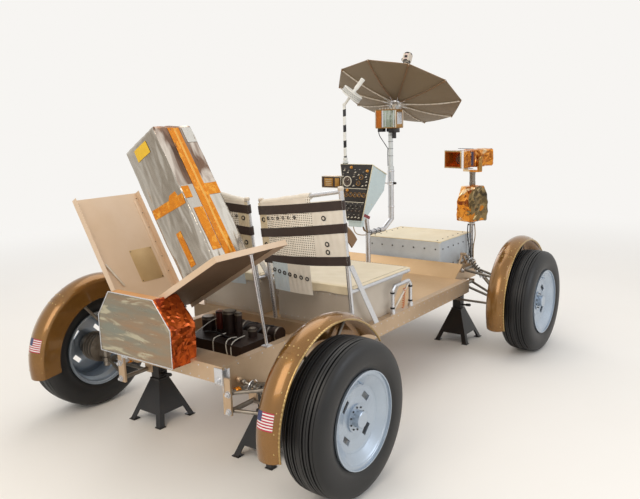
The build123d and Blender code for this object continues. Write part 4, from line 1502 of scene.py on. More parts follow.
@dataclass
class Seat:
    """One seat: cloth back with dark bands, lacing and flap, and the cloth pan."""

    side: int
    post_foot: tuple[float, float] = (-0.588, 0.523)
    post_top: tuple[float, float] = (-0.68, 1.29)
    inner_y: float = 0.052
    outer_y: float = 0.586
    bow: float = 0.038
    bands: tuple[tuple[float, float], ...] = ((1.149, 1.204), (1.025, 1.087), (0.879, 0.915))
    band_half: float = 0.024
    bin_x: float = -0.572
    pan_z: float = 0.7668

    def label(self, what: str) -> str:
        """Return a piece's name for this seat."""
        return f"{'left' if self.side > 0 else 'right'}_seat_{what}"

    def post_x(self, height: float) -> float:
        """Return the post's X at a height."""
        share = (height - self.post_foot[1]) / (self.post_top[1] - self.post_foot[1])
        return self.post_foot[0] + share * (self.post_top[0] - self.post_foot[0])

    def spot(self, across: float, height: float, off: float = 0.0) -> Point:
        """Return a point on the bowed back.

        Args:
            across: Distance from the rover's middle plane.
            height: Height above the floor.
            off: Distance behind the cloth's front face.

        Returns:
            A point.
        """
        share = (across - self.inner_y) / (self.outer_y - self.inner_y)
        depth = max(4.0 * share * (1.0 - share), 0.0)
        x = self.post_x(height) - 0.015 - self.bow * depth - off
        return (x, self.side * across, height)

    def cloth(
        self, name: str, inner: float, outer: float, low: tuple[float, float],
        high: tuple[float, float], off: float, finish: Finish, thick: float = 0.0016,
        ripple: float = 0.0
    ) -> Piece:
        """Model a strip of cloth that follows the bowed back.

        Args:
            name: Name of the piece.
            inner: Inboard edge across the seat.
            outer: Outboard edge across the seat.
            low: Height of the lower edge, inboard and outboard.
            high: Height of the upper edge, inboard and outboard.
            off: Distance behind the cloth's front face.
            finish: Its finish.
            thick: Thickness.
            ripple: Height of the small waves between the threads' pulls.

        Returns:
            The piece.
        """
        piece = add_grid(name, 36, 12)
        for vertex in piece.data.vertices:
            along, up = vertex.co.x + 0.5, vertex.co.y + 0.5
            across = inner + along * (outer - inner)
            share = (across - self.inner_y) / (self.outer_y - self.inner_y)
            foot = low[0] + share * (low[1] - low[0])
            head = high[0] + share * (high[1] - high[0])
            wave = ripple * math.sin(along * 31.0 + up * 4.0) * math.sin(up * math.pi)
            vertex.co = self.spot(across, foot + up * (head - foot), off + wave)
        piece.data.update()
        if piece.data.polygons[0].normal.x < 0.0:
            pick(piece)
            bpy.ops.object.mode_set(mode="EDIT")
            bpy.ops.mesh.select_all(action="SELECT")
            bpy.ops.mesh.flip_normals()
            bpy.ops.object.mode_set(mode="OBJECT")
        modify(piece, "SOLIDIFY", thickness=thick, offset=-1.0)
        smooth(piece, 50.0)
        return paint(piece, finish)

    def back(self) -> None:
        """Model the back: net, white panel outboard, tan strip inboard, flap and hem."""
        low, high = (0.862, 0.9), (1.19, 1.262)
        under_band = (1.172, 1.234)
        zones = (
            ("strip", 0.042, 0.105, SEAT_CREAM, high, 0.0, 0.002),
            ("net", 0.105, 0.425, SEAT_NET, high, 0.0, 0.0022),
            ("panel", 0.425, 0.597, SEAT_CLOTH, under_band, 0.0, 0.0012),
            ("roll", 0.058, 0.4, SEAT_CLOTH, high, 0.0016, 0.0)
        )
        parts = []
        for name, start, end, finish, top, off, wave in zones:
            foot = (1.166, 1.222) if name == "roll" else low
            parts.append(self.cloth(name, start, end, foot, top, off, finish, ripple=wave))
        whole = join(self.label("back"), parts)
        flap = self.flap()
        top = self.sleeve()
        lacing = self.lacing()
        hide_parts("seat_backs")
        hand_over(whole)
        LOG.info("%s has its sleeve %s", whole.name, top.name)

    def flap(self) -> Piece:
        """Model the laced flap that hangs under the lowest band."""
        parts = [
            self.cloth(
                "half", near, far, (0.712, 0.716), (0.868, 0.884), 0.003, finish, 0.0016, 0.0015
            ) for near, far, finish in ((0.112, 0.231, SEAT_BLUE), (0.231, 0.385, SEAT_CLOTH))
        ]
        flap = join(self.label("flap"), parts)
        return hand_over(flap)

    def sleeve(self) -> Piece:
        """Model the cloth rolled round the top tube."""
        points = []
        for step in range(9):
            across = 0.06 + step * 0.042
            height = 1.188 + (across - 0.052) / 0.534 * 0.084
            lift = 0.002 * math.sin(step * 2.1)
            points.append((self.post_x(height), self.side * across, height + lift))
        roll = add_lead(self.label("top_sleeve"), points, 0.0175, 16)
        crumple(roll, 0.03, 0.002, 3.0 + self.side, 0.4)
        paint(roll, SEAT_CLOTH)
        return hand_over(roll)

    def lacing(self) -> Piece:
        """Model the eyelets and hooks of the back and the flap."""
        eyelet = add_loop("eyelet", HERE, 0.0056, 0.0018, 14, 6)
        rows = [(0.116 + step * 0.04, 1.11 + step * 0.0042, 0.003, 1.2) for step in range(6)]
        rows += [(0.126 + step * 0.039, 0.826 - step * 0.004, 0.0072, 1.6) for step in range(7)]
        hooks = ((0.492, 1.135), (0.498, 1.0), (0.498, 0.958), (0.075, 1.1), (0.075, 0.96))
        rows += [(across, height, 0.003, 1.9) for across, height in hooks]
        places = []
        for across, height, off, scale in rows:
            x, y, z = self.spot(across, height, off)
            places.append(aim((x, y, z), (x - 1.0, y, z - 0.1)) @ Matrix.Scale(scale, 4))
        whole = copies(self.label("eyelets"), eyelet, places)
        return deliver(whole, STAND_ENAMEL, outward=True)

    def webbing(self) -> None:
        """Model the three dark bands, each wrapped round both posts."""
        for number, (inboard, outboard) in enumerate(self.bands):
            half = self.band_half
            band = self.cloth(
                "band", 0.04, 0.598, (inboard - half, outboard - half),
                (inboard + half, outboard + half), 0.0022, DARK_WEBBING, 0.0022
            )
            wraps = []
            for across, height in ((self.inner_y, inboard), (self.outer_y, outboard)):
                lean = Vector((self.post_x(height + 0.1) - self.post_x(height), 0.0, 0.1))
                foot = Vector((self.post_x(height), self.side * across, height))
                foot -= lean.normalized() * half
                wrap = add_round(
                    "wrap", [
                        (0.0166, 0.0), (0.0172, 0.004), (0.0172, 2 * half - 0.004),
                        (0.0166, 2 * half)
                    ], aim(tuple(foot), tuple(foot + lean)), 24
                )
                wraps.append(paint(wrap, DARK_WEBBING))
            whole = join(self.label(f"band_{number + 1}"), [band, *wraps])
            hand_over(whole)

    def pan(self) -> Piece:
        """Model the pan's cloth, sagging a little between its tubes, with its stitched edge."""
        piece = add_grid(self.label("pan"), 40, 40)
        for vertex in piece.data.vertices:
            along, over = vertex.co.x + 0.5, vertex.co.y + 0.5
            x = -0.59 + along * 0.592
            y = self.side * (0.042 + over * 0.554)
            sag = (4 * along * (1 - along)) * (4 * over * (1 - over))
            rim = min(along, 1 - along, over, 1 - over)
            drop = 0.008 * (1.0 - rim / 0.012) if rim < 0.012 else 0.0
            wrinkle = 0.0014 * math.sin(along * 40 + 3 * over) * math.sin(over * 23) * sag
            vertex.co = (x, y, self.pan_z - 0.0055 * sag - drop + wrinkle)
        piece.data.update()
        turn_out(piece)
        modify(piece, "SOLIDIFY", thickness=0.0024, offset=-1.0)
        smooth(piece, 50.0)
        paint(piece, SEAT_CREAM)
        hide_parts("seat_pans")
        hand_over(piece)
        stitches = self.stitches()
        return piece

    def stitches(self) -> Piece:
        """Model the dashed stitch line along the pan's edges."""
        stitch = add_block("stitch", (0.012, 0.0022, 0.0012), HERE, 0.0004, 1)
        places = []
        for step in range(29):
            x = -0.575 + step * 0.0195
            for y in (0.058, 0.58):
                places.append(moved(x, self.side * y, self.pan_z + 0.0004))
        for step in range(26):
            y = 0.066 + step * 0.0198
            place = moved(-0.012, self.side * y, self.pan_z + 0.0004)
            places.append(place @ Matrix.Rotation(math.pi / 2, 4, "Z"))
        whole = copies(self.label("pan_stitches"), stitch, places)
        paint(whole, DARK_WEBBING)
        return hand_over(whole)

    def pan_hem(self) -> None:
        """Model the cloth that hangs from the pan's rear edge down to the bin."""
        hem = add_grid(self.label("pan_hem"), 40, 6)
        for vertex in hem.data.vertices:
            along, up = vertex.co.x + 0.5, vertex.co.y + 0.5
            fold = 0.0035 * math.sin(along * 27.0) * (1.0 - up)
            height = 0.7235 + up * 0.0385 - 0.006 * math.sin(along * 9.0) ** 2 * (1.0 - up)
            vertex.co = (-0.5885 - fold, self.side * (0.05 + along * 0.53), height)
        hem.data.update()
        if hem.data.polygons[0].normal.x > 0.0:
            turn_out(hem)
        modify(hem, "SOLIDIFY", thickness=0.0018, offset=-1.0)
        smooth(hem, 60.0)
        deliver(hem, SEAT_CREAM)

    def post_trim(self) -> None:
        """Model the caps of the two posts, the rivets along the bin's rear face and the white rod
        on the bin's top edge, a painted highlight.
        """
        caps = []
        for across in (self.inner_y, self.outer_y):
            height = self.post_top[1] - (0.0 if across > 0.3 else 0.082)
            foot = (self.post_x(height - 0.012), self.side * across, height - 0.012)
            tip = (self.post_x(height + 0.1), self.side * across, height + 0.1)
            caps.append(add_round(
                "cap",
                [(0.0142, 0.0), (0.0156, 0.003), (0.0156, 0.014), (0.012, 0.018), (0.006, 0.0195)],
                aim(foot, tip), 24
            ))
        deliver(join(self.label("post_caps"), caps), RIB_WHITE)
        rivet = add_round("rivet", [(0.0034, -0.0006), (0.0034, 0.0006), (0.0018, 0.0018)], HERE, 8)
        places = []
        for step in range(12):
            y = self.side * (0.07 + step * 0.0445)
            places.append(aim((self.bin_x, y, 0.702), (-2.0, y, 0.702)))
            places.append(aim((self.bin_x, y, 0.548), (-2.0, y, 0.548)))
        # White rod along the bin's top edge: a painted highlight
        rim = add_rod(
            self.label("bin_rim_painted_highlight"), (-0.5745, self.side * 0.056, 0.718),
            (-0.5745, self.side * 0.582, 0.718), 0.004, 10, 0.0008
        )
        deliver(rim, RIB_WHITE)
        deliver(
            copies(self.label("bin_rivets"), rivet, places), BRIGHT_TUBE,
            outward=True
        )

    def build(self) -> None:
        """Build the seat's soft pieces and its trim."""
        self.back()
        self.webbing()
        self.pan()
        self.pan_hem()
        self.post_trim()


@dataclass
class Pallet:
    """Pallet trim, and the two film-wrapped boxes that stand by it."""

    tilt: float = 30.6
    corner: tuple[float, float] = (0.315, 0.628)
    base_x: tuple[float, float] = (-1.383, -0.893)
    wall_x: tuple[float, float] = (-1.34, -0.926)
    box_middle: tuple[float, float] = (-1.022, 0.442)
    rear_x: float = -1.4495
    box_size: Point = (0.256, 0.274, 0.806)

    def place(self) -> Matrix:
        """Return the pallet's own place: X forward, Y down its base, Z up its wall."""
        lean = math.radians(self.tilt)
        origin = (0.0, self.corner[0], self.corner[1])
        return basis(origin, (1.0, 0.0, 0.0), (0.0, math.sin(lean), math.cos(lean)))

    def at(self, x: float, along: float, up: float) -> Matrix:
        """Return a place given along the base and up the wall.

        Args:
            x: Distance forward.
            along: Distance along the base from the corner.
            up: Distance up the wall.

        Returns:
            A matrix turned as the pallet is.
        """
        return self.place() @ moved(x, -along, up)

    def trim(self) -> None:
        """Model the wall's patch plate, its strip, the rivet rows and the prop across a corner."""
        patch = add_block(
            "pallet_yellow_patch", (0.15, 0.0016, 0.19), self.at(-1.062, 0.0008, 0.28), 0.0006, 2
        )
        strip = add_block(
            "pallet_wall_strip", (0.018, 0.003, 0.64), self.at(-0.955, 0.0012, 0.345), 0.001, 2
        )
        rivet = add_round("rivet", [(0.003, -0.0006), (0.003, 0.0008), (0.0018, 0.0018)], HERE, 8)
        places = []
        for step in range(8):
            for x in (self.wall_x[0] + 0.014, self.wall_x[1] - 0.014):
                places.append(self.at(x, 0.0003, 0.03 + step * 0.092) @ AXIS_BACK)
        for step in range(9):
            for x in (self.base_x[0] + 0.014, self.base_x[1] - 0.014):
                places.append(self.at(x, 0.03 + step * 0.092, 0.0003))
        for dx in (-0.067, 0.067):
            for dz in (-0.087, 0.087):
                places.append(self.at(-1.062 + dx, 0.0014, 0.28 + dz) @ AXIS_BACK)
        deliver(
            copies("pallet_rivets", rivet, places), STAND_ENAMEL, outward=True
        )
        deliver(strip, PALLET_ALUMINIUM)
        deliver(patch, PATCH_SHEET)
        prop = add_rod(
            "pallet_wall_prop", tuple(self.at(-1.316, 0.007, 0.326).translation),
            tuple(self.at(-1.258, 0.007, 0.188).translation), 0.006, 12, 0.0012
        )
        deliver(prop, RIB_WHITE)

    def rear_face(self, along: float, up: float, lean: float = 90.0) -> Matrix:
        """Return a place on the standing box's rear face, Z out of it.

        Args:
            along: Distance along the base.
            up: Distance up the wall.
            lean: Turn of the strip's length from level, in degrees.

        Returns:
            A matrix.
        """
        x = self.box_middle[0] - self.box_size[0] / 2
        face = basis((x, -along, up), (0.0, -1.0, 0.0), (-1.0, 0.0, 0.0))
        return self.place() @ face @ Matrix.Rotation(math.radians(lean), 4, "Z")

    def outer_face(self, x: float, up: float, lean: float = 90.0) -> Matrix:
        """Return a place on the standing box's outer face, Z out of it.

        Args:
            x: Distance forward.
            up: Distance up the wall.
            lean: Turn of the strip's length from level, in degrees.

        Returns:
            A matrix.
        """
        along = self.box_middle[1] + self.box_size[1] / 2
        face = basis((x, -along, up), (1.0, 0.0, 0.0), (0.0, -1.0, 0.0))
        return self.place() @ face @ Matrix.Rotation(math.radians(lean), 4, "Z")

    def foil_box(self) -> None:
        """Wrap the standing box in creased film, its outer face's upper part in painted shade, and
        lay its tape and labels on it.
        """
        film = node_copy("foil_box", "film_wrapped_box", 0.0075)
        crumple(film, 0.05, 0.0062, 4.0, 0.85, self.place(), (1.0, 1.0, 5.0))
        modify(film, "SMOOTH", factor=0.4, iterations=1)
        smooth(film, 26.0)
        paint(film, SILVER_FILM)
        # The outer face's upper part takes the brown film: painted shade and painted reflection
        film.data.materials.append(SHADED_FILM.material())
        inward = self.place().inverted()
        for face in film.data.polygons:
            if (inward.to_3x3() @ face.normal).y < -0.5 and (inward @ face.center).z > 0.47:
                face.material_index = 1
        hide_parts("foil_box")
        hand_over(film)
        middle = self.box_middle[1]
        top = self.at(-1.022, middle, self.box_size[2]) @ Matrix.Rotation(math.pi / 2, 4, "Z")
        rows = (
            (self.rear_face(middle, 0.4155, -6.5), (0.252, 0.054), AMBER_TAPE, 0.0012),
            (self.rear_face(0.431, 0.182), (0.19, 0.04), AMBER_TAPE, 0.0012),
            (self.outer_face(-1.022, 0.398), (0.786, 0.078), AMBER_TAPE, 0.0012),
            # The fold's bright strip is a painted highlight
            (self.outer_face(-1.018, 0.398), (0.78, 0.016), TAPE_FOLD_HIGHLIGHT, 0.0024),
            (self.outer_face(-1.094, 0.222), (0.235, 0.058), AMBER_TAPE, 0.0016),
            (self.outer_face(-1.122, 0.428, 0.0), (0.052, 0.066), AMBER_TAPE, 0.002),
            (self.outer_face(-0.948, 0.43, 0.0), (0.096, 0.066), AMBER_TAPE, 0.002),
            (top, (0.262, 0.078), AMBER_TAPE, 0.0012)
        )
        tapes = [lay_on("tape", film, *row) for row in rows]
        hand_over(join("amber_tape_strips", tapes))
        label = lay_on(
            "yellow_label", film, self.rear_face(0.432, 0.741, 0.0), (0.112, 0.066), YELLOW_LABEL,
            0.0018
        )
        hand_over(label)
        plain = lay_on(
            "plain_grey_label", film, self.outer_face(-0.931, 0.745, 0.0), (0.068, 0.088),
            GREY_LABEL, 0.0018
        )
        hand_over(plain)

    def mirror_box(self) -> None:
        """Wrap the hexagonal rear box in film: calm rear face, red side, tan top, bright edges."""
        film = node_copy("mirror_box", "film_wrapped_rear_box", 0.0065)
        crumple(film, 0.09, 0.004, 11.0, 0.8, stretch=(1.0, 4.0, 1.0))
        modify(film, "SMOOTH", factor=0.3, iterations=1)
        smooth(film, 26.0)
        paint(film, GREY_FILM)
        film.data.materials.append(TAN_SHEET.material())
        for face in film.data.polygons:
            if face.normal.z > 0.7 and face.center.z > 0.8:
                face.material_index = 1
        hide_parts("mirror_box")
        hand_over(film)
        side = add_prism(
            "red_film_side", [
                (-0.047, 0.8225), (-0.1575, 0.689), (-0.1575, 0.505), (-0.15, 0.505),
                (-0.15, 0.6865), (-0.0415, 0.818)
            ], basis((-1.448, 0.0, 0.0), (0.0, 1.0, 0.0), (1.0, 0.0, 0.0)), 0.15
        )
        modify(side, "REMESH", mode="VOXEL", voxel_size=0.0042)
        crumple(side, 0.045, 0.0055, 3.0, 0.15)
        facet(side, 0.09, 8.0)
        deliver(side, RED_FILM)
        edges = (
            (0.284, 0.82), (-0.045, 0.82), (-0.154, 0.688), (-0.154, 0.505), (0.379, 0.505),
            (0.379, 0.69)
        )
        frame_line = [(self.rear_x, y, z) for y, z in edges]
        trim = add_frame("rear_box_edge_trim", frame_line, 0.0028, 0.0005)
        deliver(trim, BRIGHT_TUBE)
        # Brown plate under the pallet's base: painted shade
        under = add_block(
            "pallet_underside_painted_shade", (0.47, 0.8, 0.0016), self.at(-1.138, 0.414, -0.0068), 0.0005,
            1
        )
        deliver(under, UNDER_PALLET_SHADE)

    def build(self) -> None:
        """Build the pallet's trim and its boxes."""
        self.trim()
        self.foil_box()
        self.mirror_box()


@dataclass
class Deck:
    """Trim of the frames: battery cover, handholds, rivets, corner fittings and bay leads."""

    battery_x: tuple[float, float] = (0.955, 1.46)
    battery_y: float = 0.31
    battery_z: tuple[float, float] = (0.52, 0.74)
    rail_y: float = 0.6
    aft_y: float = 0.365
    web_x: float = -1.34
    rail_top: float = 0.523
    pivot_y: float = 0.392

    def battery_cover(self) -> None:
        """Model the soft cover: crowned cream top with painted light, pale sides in painted shade,
        piping and rows of snaps.
        """
        low_x, high_x = self.battery_x
        low_z, high_z = self.battery_z
        middle = ((low_x + high_x) / 2, 0.0, (low_z + high_z) / 2)
        size = (high_x - low_x, 2 * self.battery_y, high_z - low_z)
        cover = add_block("battery_cover", size, Matrix.Translation(middle), 0.01, 3)
        modify(cover, "REMESH", mode="VOXEL", voxel_size=0.011)
        for vertex in cover.data.vertices:
            x, y, z = vertex.co
            along = (x - low_x) / (high_x - low_x)
            over = (y + self.battery_y) / (2 * self.battery_y)
            crown = 16 * along * (1 - along) * over * (1 - over)
            if z > high_z - 0.012:
                vertex.co.z = z - 0.003 + 0.006 * crown * (0.6 + 0.4 * math.sin(over * 19.0))
            elif z > low_z + 0.02:
                tuck = 0.0022 * math.sin(along * 34.0) * math.sin(over * 41.0)
                vertex.co += vertex.normal * (tuck - 0.0024)
        cover.data.update()
        smooth(cover, 60.0)
        # Sides in painted shade; faces turned up take the top's cloth with painted light
        paint(cover, COVER_SIDE_SHADE)
        cover.data.materials.append(COVER_CLOTH.material())
        for face in cover.data.polygons:
            if face.normal.z > 0.45:
                face.material_index = 1
        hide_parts("battery_box")
        hand_over(cover)
        deliver(self.hem(low_x, high_x, high_z - 0.004), COVER_CLOTH)
        snap = add_round("snap", [(0.0055, -0.001), (0.0055, 0.001), (0.003, 0.0024)], HERE, 10)
        places = []
        for row in (high_z - 0.06, low_z + 0.03):
            for step in range(7):
                y = -0.27 + step * 0.09
                places.append(aim((low_x - 0.0005, y, row), (low_x - 1.0, y, row)))
                places.append(aim((high_x + 0.0005, y, row), (high_x + 1.0, y, row)))
            for step in range(6):
                x = low_x + 0.04 + step * 0.085
                for side in (-1, 1):
                    y = side * self.battery_y
                    places.append(aim((x, y, row), (x, side * 1.0, row)))
        for step in range(6):
            x = low_x + 0.04 + step * 0.085
            for y in (-0.265, 0.265):
                places.append(moved(x, y, high_z - 0.0015))
        deliver(copies("cover_snaps", snap, places), STAND_ENAMEL, outward=True)

    def hem(self, low_x: float, high_x: float, height: float) -> Piece:
        """Model the piping round the cover's top.

        Args:
            low_x: Rear end.
            high_x: Front end.
            height: Height of the piping.

        Returns:
            The piece.
        """
        reach = self.battery_y - 0.002
        corners = [
            (low_x + 0.002, -reach, height), (high_x - 0.002, -reach, height),
            (high_x - 0.002, reach, height), (low_x + 0.002, reach, height)
        ]
        return add_frame("battery_cover_piping", corners, 0.0034)

    def rivets(self) -> None:
        """Set the rivets along the side rails, the aft frame's sides and the aft web."""
        rivet = add_round("rivet", [(0.0036, -0.0006), (0.0036, 0.0006), (0.002, 0.0018)], HERE, 8)
        places = []
        for side in (-1, 1):
            for step in range(23):
                x = -0.585 + step * 0.0625
                places.append(aim((x, side * self.rail_y, 0.508), (x, side * 2.0, 0.508)))
                places.append(aim((x, side * self.rail_y, 0.45), (x, side * 2.0, 0.45)))
                places.append(moved(x, side * (self.rail_y - 0.01), self.rail_top))
            for step in range(9):
                x = -1.32 + step * 0.086
                places.append(aim((x, side * self.aft_y, 0.51), (x, side * 2.0, 0.51)))
                places.append(moved(x, side * (self.aft_y - 0.008), self.rail_top))
        for step in range(12):
            y = -0.33 + step * 0.06
            places.append(aim((self.web_x, y, 0.505), (-2.0, y, 0.505)))
            places.append(aim((self.web_x, y, 0.45), (-2.0, y, 0.45)))
        deliver(copies("frame_rivets", rivet, places), BRIGHT_TUBE, outward=True)

    def handhold_trim(self) -> None:
        """Model the collars of the handholds and the coiled lead inside each."""
        collars = []
        coils = []
        diagonals = []
        for side in (-1, 1):
            y = side * 0.582
            for x in (-0.181, 0.024):
                for z in (0.552, 0.64):
                    collars.append(add_round(
                        "collar",
                        [(0.0118, 0.0), (0.0134, 0.002), (0.0134, 0.009), (0.0118, 0.011)],
                        moved(x, y, z), 20
                    ))
            points = []
            for step in range(91):
                turn = step * 0.62
                share = step / 90.0
                points.append((
                    -0.066 + 0.0075 * math.cos(turn) + 0.02 * share, y + 0.0075 * math.sin(turn),
                    0.53 + 0.118 * share
                ))
            coils.append(add_lead("coil", points, 0.0022, 8))
            diagonals.append(add_rod(
                "bar", (-0.174, y, 0.538), (0.004, y, 0.669), 0.0066, 12, 0.001
            ))
        deliver(join("handhold_collars", collars), STAND_ENAMEL)
        deliver(join("handhold_coiled_leads", coils), ORANGE_CABLE)
        deliver(join("handhold_diagonals", diagonals), RIB_WHITE)

    def corner_fittings(self) -> None:
        """Model the bright brackets, shackles and the amber clamp at the rear corners."""
        for side in (-1, 1):
            name = "left" if side > 0 else "right"
            y = side * 0.352
            parts = [
                add_block(
                    "plate", (0.004, 0.052, 0.08), moved(-1.3425, y - side * 0.01, 0.474), 0.001
                ), add_block(
                    "cheek", (0.046, 0.004, 0.11), moved(-1.318, side * 0.3675, 0.452), 0.001
                ), add_round(
                    "boss",
                    [(0.016, 0.0), (0.016, 0.006), (0.01, 0.008), (0.01, 0.014), (0.006, 0.016)],
                    aim((-1.3445, y - side * 0.012, 0.452), (-2.0, y - side * 0.012, 0.452)), 20
                )
            ]
            for z in (0.395, 0.31):
                parts.append(add_round(
                    "nut", [(0.0125, 0.0), (0.0125, 0.008), (0.008, 0.01), (0.008, 0.016)],
                    aim((-1.337, side * self.pivot_y, z), (-1.5, side * self.pivot_y, z)), 6
                ))
                parts.append(add_loop(
                    "washer", aim((-1.338, side * self.pivot_y, z), (-1.5, side * self.pivot_y, z)),
                    0.015, 0.0022, 24, 8
                ))
            deliver(
                join(f"{name}_rear_corner_bracket", parts), BRIGHT_TUBE,
                outward=True
            )
            clamp = add_round(
                f"{name}_amber_pivot_clamp",
                [(0.0128, 0.0), (0.0168, 0.004), (0.0168, 0.026), (0.0128, 0.03)],
                aim((-1.29, side * self.pivot_y, 0.395), (-1.0, side * self.pivot_y, 0.395)), 20
            )
            deliver(clamp, AMBER_TAPE)

    def bay_leads(self) -> None:
        """Lay the pale and dark leads over the drive units, each clipped at both ends."""
        pale = [
            (
                0.0034, [
                    (-1.046, -0.01, 0.45), (-1.052, -0.012, 0.505), (-1.02, 0.0, 0.52),
                    (-0.93, 0.01, 0.512)
                ]
            ), (
                0.003, [
                    (-1.046, -0.11, 0.45), (-1.055, -0.105, 0.5), (-1.01, -0.085, 0.525),
                    (-0.94, -0.08, 0.508)
                ]
            ), (
                0.003, [
                    (-1.046, -0.138, 0.45), (-1.053, -0.138, 0.498), (-1.0, -0.125, 0.52),
                    (-0.9, -0.1, 0.508)
                ]
            ), (
                0.0028, [
                    (-1.04, 0.16, 0.506), (-0.98, 0.135, 0.535), (-0.935, 0.125, 0.56),
                    (-0.905, 0.1, 0.575)
                ]
            )
        ]
        deliver(add_leads("bay_pale_leads", pale), WHITE_CABLE)
        dark = [
            (
                0.0042, [
                    (-0.735, y, 0.528), (-0.78, y + 0.01, 0.545), (-0.83, y + 0.02, 0.53),
                    (-0.85, y + 0.03, 0.505)
                ]
            )
            for y in (-0.16, -0.05, 0.06)
        ]
        over = [
            (-0.96, 0.14, 0.505), (-0.99, 0.08, 0.53), (-1.0, -0.02, 0.535), (-0.98, -0.12, 0.505)
        ]
        leads = add_leads("bay_dark_leads", [*dark, (0.0045, over)])
        deliver(leads, BLACK_CABLE)

    def bay_caps(self) -> None:
        """Model the lacquered sleeves and the caps of the drive units."""
        red = add_round(
            "red_unit_sleeve",
            [(0.0268, 0.0), (0.0268, 0.088), (0.024, 0.092), (0.024, 0.096), (0.012, 0.098)],
            moved(-0.88, 0.092, 0.516), 32, 0.0008
        )
        deliver(red, RED_LACQUER)
        caps = []
        for x, y, radius, top in (
            (-0.88, 0.024, 0.039, 0.622), (-0.88, -0.04, 0.02, 0.62), (-0.9, 0.165, 0.037, 0.575),
            (-0.87, -0.13, 0.024, 0.545)
        ):
            caps.append(add_round(
                "cap", [
                    (radius + 0.0012, 0.0), (radius + 0.0012, 0.01), (radius - 0.006, 0.012),
                    (radius - 0.006, 0.016), (0.006, 0.017)
                ], moved(x, y, top - 0.012), 32
            ))
        for y in (-0.205, -0.15, 0.03, 0.142):
            caps.append(add_round(
                "hoop", [(0.0412, 0.0), (0.0434, 0.002), (0.0434, 0.008), (0.0412, 0.01)],
                aim((-0.735, y, 0.487), (-0.735, y + 1.0, 0.487)), 32
            ))
        deliver(join("drive_unit_caps", caps), PLATED_STEEL)

    def build(self) -> None:
        """Build the deck's trim."""
        self.battery_cover()
        self.rivets()
        self.handhold_trim()
        self.corner_fittings()
        self.bay_leads()
        self.bay_caps()


